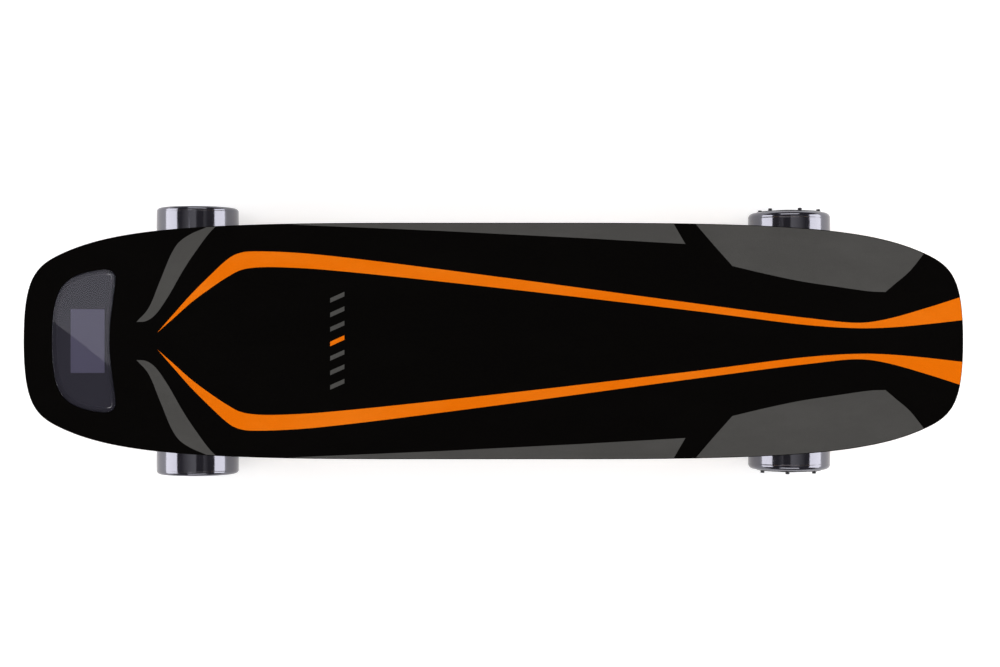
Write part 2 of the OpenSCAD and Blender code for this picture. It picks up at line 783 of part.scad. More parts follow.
module display_tray() {
  low = deck_z - tray_h;
  color([0.1, 0.1, 0.1]) {
    difference() {
      union() {
        translate([tray_x, 0, low]) linear_extrude(tray_h) rounded(tray_l, tray_w, 8);
        translate([tray_x, 0, deck_z - 2]) linear_extrude(2) rounded(tray_l, tray_w + 18, 8);
      }
      translate([tray_x, 0, low + tray_wall]) linear_extrude(tray_h)
        rounded(tray_l - 2 * tray_wall, tray_w - 2 * tray_wall, 6);
      at_tray_screws() translate([0, 0, deck_z - 3]) cylinder(r = 1.6 + fit, h = 4);
      // way out of the ribbon
      box(tray_x + tray_l / 2 - 4, tray_x + tray_l / 2 + 4, -ribbon_w / 2 - 1, ribbon_w / 2 + 1,
          deck_z - 1.5, deck_z + 1);
    }
    for (sx = [-1, 1], sy = [-1, 1])
      translate([tray_x + sx * 17, sy * 46, low + tray_wall - bite])
        cylinder(r = 2.5, h = display_pcb_z - low - tray_wall + bite);
    at_tray_screws() translate([0, 0, deck_z - 3.6]) {
      cylinder(r = 3, h = 1.6);
      cylinder(r = 1.5, h = 8.6);
    }
  }
}

// flat cable in its groove, with a plug at each end
module display_ribbon() {
  z = deck_z + 0.6;
  from = tray_x + 22.5;
  to = battery_x0 + flange + box_wall + 6;
  color([0.85, 0.85, 0.8]) {
    box(from, to, ribbon_y - ribbon_w / 2, ribbon_y + ribbon_w / 2, z, z + 0.8);
    box(to - 3, to, ribbon_y - ribbon_w / 2, ribbon_y + ribbon_w / 2, z - 4.5, z + eps);
  }
}

// ---- boxes ----
module at_box_screws() {
  y = wall_y + flange / 2;
  for (sy = [-1, 1], i = [0:3])
    translate([battery_x0 + flange + 2 + i * (battery_x1 - battery_x0 - 2 * flange - 4) / 3,
               sy * y, 0]) children();
  for (sy = [-1, 1], i = [0:2])
    translate([controller_x0 + flange + 2
               + i * (controller_x1 - controller_x0 - 2 * flange - 4) / 2, sy * y, 0]) children();
}

// a tub with a flange round its mouth; the cavity takes l by inner_w
module tub(mid, l) {
  difference() {
    union() {
      translate([mid, 0, box_floor]) linear_extrude(box_h)
        rounded(l + 2 * box_wall, 2 * wall_y, box_r);
      translate([mid, 0, box_top - flange_t]) linear_extrude(flange_t)
        rounded(l + 2 * box_wall + 2 * flange, 2 * wall_y + 2 * flange, box_r + flange);
    }
    translate([mid, 0, box_floor + box_wall]) linear_extrude(box_h)
      rounded(l, inner_w, box_r - box_wall);
    at_box_screws() cylinder(r = screw_r + 0.2, h = deck_z);
  }
}

module battery_cover() {
  color([0.13, 0.13, 0.14]) difference() {
    tub(battery_mid, battery_l);
    rod_y(button_x, button_z, 0, wall_y + 5, switch_r - 1.5 + fit);
  }
}

module controller_cover() {
  color([0.13, 0.13, 0.14]) difference() {
    tub(controller_mid, controller_l);
    rod_y(socket_x, button_z, 0, wall_y + 5, socket_r + fit);
    translate([controller_mid, 0, box_floor - 1])
      linear_extrude(box_wall + 2) rounded(sink_l + 2 * fit, sink_w + 2 * fit, 4);
    for (s = [-1, 1]) translate([controller_x1 - flange - box_wall - 2, s * gland_y, gland_z])
      rotate([0, 90, 0]) cylinder(r = gland_r + fit, h = 10);
  }
}

// outline of a box's sealing frame
module gasket_plan(mid, l) {
  translate([mid, 0]) difference() {
    rounded(l + 2 * box_wall + 2 * flange, 2 * wall_y + 2 * flange, box_r + flange);
    rounded(l, inner_w, box_r - box_wall);
  }
}

module box_gaskets() {
  color([0.03, 0.03, 0.03]) translate([0, 0, box_top]) linear_extrude(box_gasket_t)
    difference() {
      union() {
        gasket_plan(battery_mid, battery_l);
        gasket_plan(controller_mid, controller_l);
      }
      at_box_screws() circle(screw_r + 0.2);
    }
}

module box_screws() {
  low = box_top - flange_t;
  color([0.55, 0.55, 0.57]) at_box_screws() {
    translate([0, 0, low - 2]) difference() {
      cylinder(r = 3.8, h = 2);
      translate([0, 0, -1]) cylinder(r = 1.6, h = 2.2, $fn = 6);
    }
    translate([0, 0, low - eps]) cylinder(r = screw_r, h = deck_z + 6 - low);
  }
}

module battery_cells() {
  color([0.2, 0.45, 0.6])
    for (i = [0:rows - 1], s = [-1, 1]) {
      x = cells_x + (i + 0.5) * cell_pitch;
      rod_y(x, cell_z, s > 0 ? 1 : -1 - cell_l, s > 0 ? 1 + cell_l : -1, cell_d / 2);
    }
}

// welded strips on the cells' ends, foam pads below them
module cell_strips() {
  color([0.75, 0.75, 0.7]) {
    for (s = [-1, 1], y = [0.4, cell_l + 1]) for (i = [0:rows / 2 - 1]) {
      x = cells_x + (2 * i + 1) * cell_pitch;
      translate([x, s * (y + 0.3), cell_z])
        cube([cell_pitch * 1.7, 0.6, 8], center = true);
    }
    for (s = [-1, 1]) box(cells_x + 4, cells_x + pack_l - 4, s * 36 - 20, s * 36 + 20,
                          box_floor + box_wall, box_floor + box_wall + foam_t);
  }
}

module battery_board() {
  z = cell_z + cell_d / 2 + 0.6;
  color([0.05, 0.3, 0.15]) {
    box(cells_x + 6, cells_x + 66, -50, 50, z, z + pcb_t);
    for (i = [0:3]) box(cells_x + 46, cells_x + 56, -38 + 20 * i, -26 + 20 * i, z + 1, z + 3.6);
    box(cells_x + 12, cells_x + 30, -6, 6, z + 1, z + 3.6);
    box(cells_x + 62, cells_x + 66.5, -30, -10, z + 1, z + 4);
  }
}

module controller_board() {
  z = box_floor + box_wall + 7;
  color([0.05, 0.25, 0.12]) {
    box(controller_mid - 48, controller_mid + 48, -58, 58, z, z + pcb_t);
    for (s = [-1, 1], i = [0:5])
      box(controller_mid + s * 20 - 5, controller_mid + s * 20 + 5, -42 + 15 * i, -33 + 15 * i,
          box_floor + box_wall + 2.3, z + eps);
    for (i = [0:3]) translate([controller_mid - 2, -36 + 24 * i, z + 1])
      cylinder(r = 6, h = 15);
    box(controller_mid + 30, controller_mid + 44, -12, 12, z + 1, z + 9);
  }
}

// finned plate let into the controller box's floor
module controller_heatsink() {
  color([0.6, 0.6, 0.62]) {
    translate([controller_mid, 0, box_floor - 1]) linear_extrude(box_wall + 1 + eps)
      rounded(sink_l, sink_w, 4);
    translate([controller_mid, 0, box_floor + box_wall]) linear_extrude(2)
      rounded(sink_l + 8, sink_w + 8, 5);
    for (i = [0:13]) box(controller_mid - sink_l / 2 + 4, controller_mid + sink_l / 2 - 4,
      -52 + 7.8 * i, -50 + 7.8 * i, box_floor - 1 - fin_h, box_floor - 1 + eps);
  }
}

// two power cables in the groove between the boxes
module power_harness() {
  from = battery_x1 - flange - box_wall - 11;
  to = controller_x0 + flange + box_wall + 11;
  z = deck_z + groove_h - harness_r - 0.3;
  color([0.6, 0.05, 0.05]) for (s = [-1, 1]) {
    translate([from, s * harness_y, z]) rotate([0, 90, 0]) cylinder(r = harness_r, h = to - from);
    for (x = [from + harness_r, to - harness_r]) translate([x, s * harness_y, z - 12])
      cylinder(r = harness_r, h = 12);
  }
}

// panel switch: threaded barrel, bezel and nut, with the button free in its bore
module switch_housing() {
  color([0.7, 0.7, 0.72]) difference() {
    union() {
      rod_y(button_x, button_z, wall_y - 14, wall_y + eps, switch_r - 1.5);
      rod_y(button_x, button_z, wall_y, wall_y + 2, switch_r);
      rod_y(button_x, button_z, wall_y - box_wall - 3, wall_y - box_wall, switch_r);
    }
    rod_y(button_x, button_z, wall_y - 9, wall_y + 10, button_r + run);
  }
}

module power_button() {
  color([0.8, 0.35, 0.05]) {
    rod_y(button_x, button_z, wall_y - 9 + button_travel + 0.3, wall_y + 4, button_r);
  }
}

module charge_socket() {
  color([0.2, 0.2, 0.21]) {
    difference() {
      union() {
        rod_y(socket_x, button_z, wall_y - 14, wall_y + eps, socket_r);
        rod_y(socket_x, button_z, wall_y, wall_y + 2, socket_r + 2.5);
      }
      rod_y(socket_x, button_z, wall_y - 11, wall_y + 10, socket_r - 2);
    }
    rod_y(socket_x, button_z, wall_y - 11 - bite, wall_y - 2, 1.2);
    // lug that carries the cap's pin
    difference() {
      box(socket_x + socket_r + 1, socket_x + socket_r + 5.6, wall_y, wall_y + 5.5,
          button_z - 2, button_z + 2);
      translate([hinge_x, hinge_y, button_z])
        cylinder(r = 1 + run, h = 20, center = true);
    }
  }
}

// rubber cap with its two ears and pin
module charge_cap() {
  color([0.05, 0.05, 0.05]) {
    difference() {
      union() {
        rod_y(socket_x, button_z, wall_y + 2, wall_y + 2 + cap_t, socket_r + 2);
        for (s = [0, 1]) translate([0, 0, button_z]) mirror([0, 0, s])
          box(socket_x, hinge_x, wall_y + 2, wall_y + 2 + cap_t, 2.3, 5);
      }
      box(socket_x + socket_r, hinge_x + 5, 0, wall_y + 20, button_z - 2.3, button_z + 2.3);
    }
    rod_y(socket_x, button_z, wall_y - 1, wall_y + 2 + eps, socket_r - 2.8);
    for (s = [0, 1]) translate([hinge_x, hinge_y, button_z]) mirror([0, 0, s])
      translate([0, 0, 2.3]) cylinder(r = 1.5, h = 2.7);
    translate([hinge_x, hinge_y, button_z]) cylinder(r = 1, h = 9, center = true);
  }
}

// glands in the controller box's rear wall
module cable_glands() {
  color([0.1, 0.1, 0.1]) for (s = [-1, 1]) translate([gland_wall, s * gland_y, gland_z])
    rotate([0, 90, 0]) {
      translate([0, 0, -box_wall - 2]) cylinder(r = gland_r, h = box_wall + 2 + eps);
      cylinder(r = 7, h = 4, $fn = 6);
      translate([0, 0, 4 - eps]) cylinder(r = gland_r, h = gland_tip - 4 + eps);
    }
}

// a round cable along a curve, as rings of points
module cable(route, r, rings, sides) {
  path = curve(route, 0, rings);
  points = [
    for (i = [0:rings]) let (
      d = path[min(i + 1, rings)] - path[max(i - 1, 0)],
      ahead = i == 0 || i == rings ? [1, 0, 0] : d / norm(d),
      aside = cross([0, 0, 1], ahead) / norm(cross([0, 0, 1], ahead)),
      above = cross(ahead, aside)
    ) for (j = [0:sides - 1])
      path[i] + r * cos(360 * j / sides) * aside + r * sin(360 * j / sides) * above
  ];
  skin = [
    for (i = [0:rings - 1], j = [0:sides - 1]) let (
      a = i * sides + j,
      b = i * sides + (j + 1) % sides
    ) each [[a, a + sides, b], [b, a + sides, b + sides]]
  ];
  start = [[for (j = [0:sides - 1]) j]];
  finish = [[for (j = [sides - 1:-1:0]) rings * sides + j]];
  polyhedron(points = points, faces = concat(start, skin, finish));
}

// motor cables from their glands to the bosses on the rear hanger
module motor_leads() {
  color([0.06, 0.06, 0.06]) for (s = [-1, 1]) {
    from = [gland_wall + gland_tip, s * gland_y, gland_z];
    to = [axle_x - lead_boss_l, s * lead_boss_y, axle_z];
    cable([from, from + [lead_stiff, 0, -2], to - [lead_stiff, 0, 0], to], lead_r, 12, 10);
  }
}

deck();
grip_sheet();
deck_inserts();
truck_bolts();
riser_pads();
truck_baseplates();
kingpins();
kingpin_nuts();
bushing_washers();
front_bushings();
rear_bushings();
pivot_cups();
display_window();
display_gasket();
lcd_panel();
lcd_frame();
display_board();
display_tray();
display_ribbon();
battery_cover();
battery_cells();
cell_strips();
battery_board();
controller_cover();
controller_board();
controller_heatsink();
box_gaskets();
box_screws();
power_harness();
switch_housing();
power_button();
charge_socket();
charge_cap();
cable_glands();
motor_leads();
front_hanger();
front_axle();
front_axle_nuts();
front_inner_races();
front_left_tyre();
front_left_core();
front_left_bearings();
front_right_tyre();
front_right_core();
front_right_bearings();
rear_hanger();
rear_axle();
rear_inner_races();
stators();
stator_coils();
rear_left_tyre();
rear_left_can();
rear_left_magnets();
rear_left_cover();
rear_left_bearings();
rear_right_tyre();
rear_right_can();
rear_right_magnets();
rear_right_cover();
rear_right_bearings();
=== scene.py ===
# Electric skateboard, dressed piece by piece in the order it is put together.
import json
import math

import bpy
from mathutils import Matrix, Vector


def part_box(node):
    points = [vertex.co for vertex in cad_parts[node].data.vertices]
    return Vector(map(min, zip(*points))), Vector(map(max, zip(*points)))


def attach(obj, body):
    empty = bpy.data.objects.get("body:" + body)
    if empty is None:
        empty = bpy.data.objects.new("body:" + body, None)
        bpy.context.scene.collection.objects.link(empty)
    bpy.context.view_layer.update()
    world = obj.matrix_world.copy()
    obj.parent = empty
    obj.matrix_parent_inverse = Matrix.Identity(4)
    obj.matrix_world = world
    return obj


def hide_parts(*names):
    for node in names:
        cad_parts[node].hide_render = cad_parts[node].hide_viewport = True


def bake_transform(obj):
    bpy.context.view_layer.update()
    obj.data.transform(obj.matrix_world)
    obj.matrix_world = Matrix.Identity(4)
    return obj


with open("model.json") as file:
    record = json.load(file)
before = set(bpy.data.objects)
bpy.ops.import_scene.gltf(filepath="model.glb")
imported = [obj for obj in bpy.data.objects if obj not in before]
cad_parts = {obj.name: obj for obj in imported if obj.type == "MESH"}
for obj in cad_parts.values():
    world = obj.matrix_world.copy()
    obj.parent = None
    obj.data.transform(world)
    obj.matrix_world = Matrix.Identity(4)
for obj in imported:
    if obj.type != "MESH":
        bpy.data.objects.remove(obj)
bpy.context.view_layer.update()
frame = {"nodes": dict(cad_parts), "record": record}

# ---- Camera, lights and floor ----
# The board is looked at from straight above on a pale floor. Tall soft panels stand beyond its
# ends, two more hang over its long sides, and dim ones overhead show in the glossy wheels and
# in the display's window.
sheet_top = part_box("grip_sheet")[0][2] + 0.001
camera_height = 1.8
camera_data = bpy.data.cameras.new("camera")
camera_data.sensor_width = 36.0
camera_data.lens = 64.8
camera_data.shift_x = 0.0066
camera_data.shift_y = 0.0075
camera_data.clip_start = 0.05
camera_data.clip_end = 50
camera = bpy.data.objects.new("camera", camera_data)
camera.location = (0, 0, sheet_top + camera_height)
bpy.context.scene.collection.objects.link(camera)
bpy.context.scene.camera = camera
bpy.context.scene.view_settings.view_transform = "Standard"


def clear():
    """Leaves edit mode with nothing selected."""
    if bpy.context.object and bpy.context.mode != "OBJECT":
        bpy.ops.object.mode_set(mode="OBJECT")
    bpy.ops.object.select_all(action="DESELECT")


def soft_panel(name, place, target, size, power, colour=(1, 1, 1)):
    """A rectangular soft light at place, facing target."""
    light = bpy.data.lights.new(name, "AREA")
    light.shape = "RECTANGLE"
    light.size, light.size_y = size
    light.energy = power
    light.color = colour
    lamp = bpy.data.objects.new(name, light)
    lamp.location = place
    aim = Vector(target) - Vector(place)
    lamp.rotation_euler = aim.to_track_quat("-Z", "Y").to_euler()
    lamp.visible_camera = False
    bpy.context.scene.collection.objects.link(lamp)
    return lamp


end_x, end_z, end_size, end_power = 3.0, 1.15, (3.4, 2.2), 132
overhead_x, overhead_z, overhead_size, overhead_power = 0.74, 1.2, (1.05, 0.9), 0.26
for end, name in ((-1, "left"), (1, "right")):
    panel_place = (end * end_x, 0, end_z)
    soft_panel(f"panel_{name}", panel_place, (0, 0, end_z), end_size, end_power, (0.97, 0.97, 1))
    x = end * overhead_x
    overhead = soft_panel(f"overhead_{name}", (x, 0, overhead_z), (x, 0, 0), overhead_size, overhead_power)
    overhead.rotation_euler = (0, 0, 0)
    overhead.data.spread = math.radians(75)
for end, name in ((1, "back"), (-1, "front")):
    soft_panel(f"panel_{name}", (0, end * 2.4, 2.2), (0, 0, 0.05), (2.6, 1.4), 34)
x, y, tilt = -0.605, 0.039, -37.9
window_panel = soft_panel("panel_window", (x, y, 1.4), (x, y, 0), (0.31, 0.19), 0.38, (0.93, 0.92, 1))
window_panel.rotation_euler = (0, 0, math.radians(tilt))

# The sky looks pale to the camera and lights the board only faintly.
world = bpy.data.worlds.new("studio")
bpy.context.scene.world = world
world.use_nodes = True
sky = world.node_tree.nodes["Background"]
sky.inputs["Color"].default_value = (1, 1, 1, 1)
rays = world.node_tree.nodes.new("ShaderNodeLightPath")
level = world.node_tree.nodes.new("ShaderNodeMapRange")
level.inputs["To Min"].default_value = 0.09
level.inputs["To Max"].default_value = 0.75
world.node_tree.links.new(rays.outputs["Is Camera Ray"], level.inputs["Value"])
world.node_tree.links.new(level.outputs["Result"], sky.inputs["Strength"])

clear()
bpy.ops.mesh.primitive_plane_add(size=40, location=(0, 0, 0))
floor = bpy.context.object
floor.name = "floor"
paint = bpy.data.materials.new("floor_paint")
paint.use_nodes = True
shader = paint.node_tree.nodes["Principled BSDF"]
shader.inputs["Base Color"].default_value = (0.9, 0.9, 0.9, 1)
shader.inputs["Roughness"].default_value = 0.9
shader.inputs["Specular IOR Level"].default_value = 0.1
shader.inputs["Emission Color"].default_value = (1, 1, 1, 1)
shader.inputs["Emission Strength"].default_value = 0.35
floor.data.materials.append(paint)

# ---- Plywood deck ----
# Seven maple plies are glued and pressed in a mould that bends the rails up, sawn to the
# outline, rounded along the lower edge and sealed with clear lacquer. The nose is milled
# out for the display.
deck_low, deck_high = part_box("deck")
deck_length = deck_high[0] - deck_low[0]
deck_width = deck_high[1] - deck_low[1]
deck_under = deck_low[2]
ply_total = 0.0125
ply_top = deck_under + ply_total
flat_half = 0.088
rail_rise = 0.005


def rail(y):
    """How far the rails are bent up at that distance from the middle."""
    reach = max(0.0, abs(y) - flat_half) / (deck_width / 2 - flat_half)
    return rail_rise * reach * reach


def bezier(points, t):
    """The point at t on a curve with two ends and two handles."""
    s = 1 - t
    return [
        s**3 * a + 3 * s * s * t * b + 3 * s * t * t * c + t**3 * d
        for a, b, c, d in zip(*points)
    ]


def outline_quarter():
    """Distance from the end and half width, from the middle of the end to the waist."""
    end = [(0, 0), (0, 0.062), (0.011, 0.0748), (0.037, 0.087)]
    side = [(0.037, 0.087), (0.087, 0.1105), (0.161, 0.118), (0.376, 0.118)]
    return [bezier(end, i / 16) for i in range(16)] + [bezier(side, i / 28) for i in range(29)]


def deck_outline(grow=0.0):
    """The whole outline, larger all round by grow; its ends keep their middle points."""
    end_flat = 0.05
    quarter = [
        (d - grow - deck_length / 2, w + grow * min(1, w / end_flat)) for d, w in outline_quarter()
    ]
    half = quarter + [(-x, y) for x, y in reversed(quarter)]
    return half + [(x, -y) for x, y in reversed(half[1:-1])]


def cut_piece(name, outline, low, high):
    """A flat piece with that outline, sawn from a sheet lying between two heights."""
    clear()
    bpy.ops.mesh.primitive_circle_add(vertices=len(outline), radius=1, fill_type="NGON")
    piece = bpy.context.object
    piece.name = piece.data.name = name
    for v, (x, y) in zip(piece.data.vertices, outline):
        v.co = (x, y, low)
    bpy.ops.object.mode_set(mode="EDIT")
    bpy.ops.mesh.select_all(action="SELECT")
    bpy.ops.mesh.extrude_region_move(TRANSFORM_OT_translate={"value": (0, 0, high - low)})
    bpy.ops.mesh.select_all(action="SELECT")
    bpy.ops.mesh.normals_make_consistent(inside=False)
    bpy.ops.object.mode_set(mode="OBJECT")
    piece.location = (0, 0, 0)
    return piece


def take(piece):
    """Makes the piece the only one in hand."""
    clear()
    piece.select_set(True)
    bpy.context.view_layer.objects.active = piece


def bend_rails(piece):
    """Splits the piece along the rails and bends it up with them."""
    take(piece)
    bpy.ops.object.mode_set(mode="EDIT")
    for i in range(9):
        for side in (1, -1):
            y = side * (flat_half + i / 8 * (deck_width / 2 - flat_half) - 1e-5)
            bpy.ops.mesh.select_all(action="SELECT")
            bpy.ops.mesh.bisect(plane_co=(0, y, 0), plane_no=(0, 1, 0))
    bpy.ops.object.mode_set(mode="OBJECT")
    for v in piece.data.vertices:
        v.co.z += rail(v.co.y)


def round_rim(piece, height, width, segments):
    """Rounds the edges of a flat piece that lie at that height."""
    take(piece)
    for e in piece.data.edges:
        a, b = (piece.data.vertices[i].co for i in e.vertices)
        e.select = abs(a.z - height) < 1e-6 and abs(b.z - height) < 1e-6
    for f in piece.data.polygons:
        f.select = False
    for v in piece.data.vertices:
        v.select = abs(v.co.z - height) < 1e-6
    bpy.ops.object.mode_set(mode="EDIT")
    bpy.ops.mesh.select_mode(type="EDGE")
    bpy.ops.mesh.bevel(offset=width, segments=segments, affect="EDGES")
    bpy.ops.mesh.select_mode(type="VERT")
    bpy.ops.object.mode_set(mode="OBJECT")


def hollow(piece, cutter, operation="DIFFERENCE"):
    """Mills the cutter's shape out of the piece, or trims the piece to it."""
    change = piece.modifiers.new("mill", "BOOLEAN")
    change.operation = operation
    change.solver = "EXACT"
    change.object = cutter
    take(piece)
    bpy.ops.object.modifier_apply(modifier="mill")


def remove(piece):
    """Puts a cutter away once its cut is made."""
    bpy.data.objects.remove(piece, do_unlink=True)


def smooth(piece, degrees=35):
    """Shades the piece smooth up to that angle, with its flat faces kept truly flat."""
    take(piece)
    bpy.ops.object.shade_smooth_by_angle(angle=math.radians(degrees))
    weigh = piece.modifiers.new("flat_faces", "WEIGHTED_NORMAL")
    weigh.keep_sharp = True
    weigh.weight = 100
    bpy.ops.object.modifier_apply(modifier="flat_faces")


def socket(node, name, value):
    """Sets one value on a node's own socket."""
    node.inputs[name].default_value = value


class Finish:
    """A material under construction: its shader and short ways to add nodes."""

    def __init__(self, name, colour, rough, metal=0.0, specular=0.5):
        self.base, self.rough = colour, rough
        self.m = bpy.data.materials.new(name)
        self.m.use_nodes = True
        self.tree = self.m.node_tree
        self.shader = self.tree.nodes["Principled BSDF"]
        socket(self.shader, "Base Color", (*colour, 1))
        socket(self.shader, "Roughness", rough)
        socket(self.shader, "Metallic", metal)
        socket(self.shader, "Specular IOR Level", specular)
        self.place = self.add("ShaderNodeTexCoord").outputs["Object"]
        self.normal = None

    def add(self, kind, **settings):
        node = self.tree.nodes.new(kind)
        for k, v in settings.items():
            setattr(node, k, v)
        return node

    def link(self, out, into):
        self.tree.links.new(out, into)

    def mapped(self, scale=(1, 1, 1), turn=(0, 0, 0)):
        node = self.add("ShaderNodeMapping")
        socket(node, "Scale", scale)
        socket(node, "Rotation", turn)
        self.link(self.place, node.inputs["Vector"])
        return node.outputs["Vector"]

    def noise(self, scale, detail=4.0, rough=0.55, source=None, distortion=0.0):
        node = self.add("ShaderNodeTexNoise")
        socket(node, "Scale", scale)
        socket(node, "Detail", detail)
        socket(node, "Roughness", rough)
        socket(node, "Distortion", distortion)
        self.link(source or self.place, node.inputs["Vector"])
        return node.outputs["Fac"]

    def spots(self, scale):
        node = self.add("ShaderNodeTexVoronoi")
        socket(node, "Scale", scale)
        self.link(self.place, node.inputs["Vector"])
        return node.outputs["Distance"]

    def bands(self, scale, direction, source=None):
        node = self.add("ShaderNodeTexWave", wave_type="BANDS", bands_direction=direction)
        socket(node, "Scale", scale)
        self.link(source or self.place, node.inputs["Vector"])
        return node.outputs["Fac"]

    def axes(self, source=None):
        node = self.add("ShaderNodeSeparateXYZ")
        self.link(source or self.place, node.inputs["Vector"])
        return node.outputs

    def span(self, value, low, high, to_low, to_high):
        node = self.add("ShaderNodeMapRange")
        ends = {"From Min": low, "From Max": high, "To Min": to_low, "To Max": to_high}
        for name, v in ends.items():
            socket(node, name, v)
        self.link(value, node.inputs["Value"])
        return node.outputs["Result"]

    def maths(self, kind, a, b=None):
        node = self.add("ShaderNodeMath", operation=kind)
        for i, v in enumerate((a, b)):
            if v is None:
                continue
            if isinstance(v, (int, float)):
                node.inputs[i].default_value = v
            else:
                self.link(v, node.inputs[i])
        return node.outputs["Value"]

    def ramp(self, value, stops):
        node = self.add("ShaderNodeValToRGB")
        ramp = node.color_ramp
        while len(ramp.elements) < len(stops):
            ramp.elements.new(0.5)
        for e, (at, colour) in zip(ramp.elements, stops):
            e.position = at
            e.color = (*colour, 1)
        self.link(value, node.inputs["Fac"])
        return node.outputs["Color"]

    def mix(self, factor, a, b):
        node = self.add("ShaderNodeMix", data_type="RGBA")
        sides = [s for s in node.inputs if s.type == "RGBA"]
        for s, v in zip(sides, (a, b)):
            if isinstance(v, tuple):
                s.default_value = (*v, 1)
            else:
                self.link(v, s)
        if isinstance(factor, (int, float)):
            node.inputs[0].default_value = factor
        else:
            self.link(factor, node.inputs[0])
        return [o for o in node.outputs if o.type == "RGBA"][0]

    def colour(self, out):
        self.link(out, self.shader.inputs["Base Color"])

    def roughness(self, out):
        self.link(out, self.shader.inputs["Roughness"])

    def bump(self, height, distance, strength=1.0):
        """One more layer of relief, of that depth in metres."""
        node = self.add("ShaderNodeBump")
        socket(node, "Strength", strength)
        socket(node, "Distance", distance)
        self.link(height, node.inputs["Height"])
        if self.normal:
            self.link(self.normal, node.inputs["Normal"])
        self.normal = node.outputs["Normal"]
        self.link(self.normal, self.shader.inputs["Normal"])


def wear(finish, tone, spread, scale):
    """Uneven tone and gloss, as on any handled surface."""
    patches = finish.noise(scale, 6, 0.6)
    dark = tuple(c * (1 - tone) for c in finish.base)
    light = tuple(min(1, c * (1 + tone)) for c in finish.base)
    finish.colour(finish.mix(finish.span(patches, 0.3, 0.7, 0, 1), dark, light))
    rubbed = finish.noise(scale * 2.3, 5)
    finish.roughness(finish.span(rubbed, 0.3, 0.7, finish.rough - spread, finish.rough + spread))


def window_half(grow=0.0):
    """One side of the display window's outline, from its front to its back."""
    widest, tail, waist = 0.0715 + grow, 0.0635 + grow, 0.0575 + grow
    front = [(-grow, 0), (-grow, 0.054), (0.010 - grow, 0.067 + grow), (0.052, widest)]
    corner = [(0.052, widest), (0.058, widest), (tail, 0.069 + grow / 2), (tail, 0.062)]
    back = [(tail, 0.062), (0.0625 + grow, 0.045), (waist, 0.025), (waist, 0)]
    return (
        [bezier(front, i / 16) for i in range(16)]
        + [bezier(corner, i / 8) for i in range(8)]
        + [bezier(back, i / 10) for i in range(11)]
    )


window_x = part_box("display_window")[0][0]


def window_outline(grow=0.0):
    """The window's whole outline in its place, larger all round by grow."""
    half = [(window_x + x, y) for x, y in window_half(grow)]
    return half + [(x, -y) for x, y in reversed(half[1:-1])]


past, window_play, seat_width, seat_depth = 0.01, 0.0003, 0.004, 0.0018


def mill(piece, name, outline, low, high):
    """Mills a flat-sided pocket with that outline into the piece."""
    cutter = cut_piece(name, outline, low, high)
    hollow(piece, cutter)
    remove(cutter)


deck = cut_piece("deck_plies", deck_outline(), deck_under, ply_top)
round_rim(deck, deck_under, 0.004, 5)
mill(deck, "well", window_outline(window_play), ply_top - seat_depth, ply_top + past)
mill(deck, "well", window_outline(-seat_width), deck_under - past, ply_top + past)


def groove(piece, x0, x1, half_width, depth):
    """A straight groove along the middle of the deck's underside."""
    outline = [(x0, -half_width), (x1, -half_width), (x1, half_width), (x0, half_width)]
    mill(piece, "groove", outline, deck_under - past, deck_under + depth)


battery_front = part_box("battery_cover")[0][0]
window_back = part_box("display_window")[1][0]
harness_low, harness_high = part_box("power_harness")
cable_play = 0.001
groove(deck, window_back - 0.010, battery_front + 0.021, 0.007, 0.002)
groove(deck, harness_low[0] - cable_play, harness_high[0] + cable_play, 0.015, 0.006)
bend_rails(deck)
plies = deck.data.attributes.new("ply", "FLOAT", "POINT")
for i, v in enumerate(deck.data.vertices):
    plies.data[i].value = (v.co.z - rail(v.co.y) - deck_under) / ply_total
smooth(deck, 30)

maple = Finish("lacquered_maple", (0.62, 0.42, 0.24), 0.38)
long_grain = maple.mapped(scale=(3, 60, 60))
figure = maple.noise(4, 7, 0.62, long_grain, 0.9)
veneer_tones = [(0.3, (0.42, 0.26, 0.13)), (0.5, (0.62, 0.42, 0.24)), (0.72, (0.74, 0.55, 0.34))]
veneer = maple.ramp(figure, veneer_tones)
ply_count = 7
height = maple.add("ShaderNodeAttribute", attribute_name="ply").outputs["Fac"]
layer = maple.maths("MULTIPLY", height, ply_count)
inside = maple.maths("FRACT", layer)
odd = maple.maths("MODULO", maple.maths("FLOOR", layer), 2)
edge_grain = maple.noise(5, 5, 0.6, maple.mapped(scale=(14, 60, 900)))
light_ply = maple.ramp(edge_grain, [(0.3, (0.58, 0.40, 0.22)), (0.7, (0.78, 0.60, 0.38))])
dark_ply = maple.ramp(edge_grain, [(0.3, (0.16, 0.085, 0.04)), (0.7, (0.28, 0.16, 0.08))])
edge_colour = maple.mix(odd, light_ply, dark_ply)
glue = maple.maths("LESS_THAN", inside, 0.09)
edge_colour = maple.mix(glue, edge_colour, (0.07, 0.04, 0.02))
slope = maple.axes(maple.add("ShaderNodeNewGeometry").outputs["Normal"])
level_face = maple.maths("GREATER_THAN", maple.maths("ABSOLUTE", slope["Z"]), 0.985)
maple.colour(maple.mix(level_face, edge_colour, veneer))
maple.roughness(maple.span(maple.noise(30, 6), 0.3, 0.7, 0.3, 0.46))
maple.bump(figure, 0.00008)
maple.bump(maple.noise(900, 3), 0.00002)
deck.data.materials.append(maple.m)

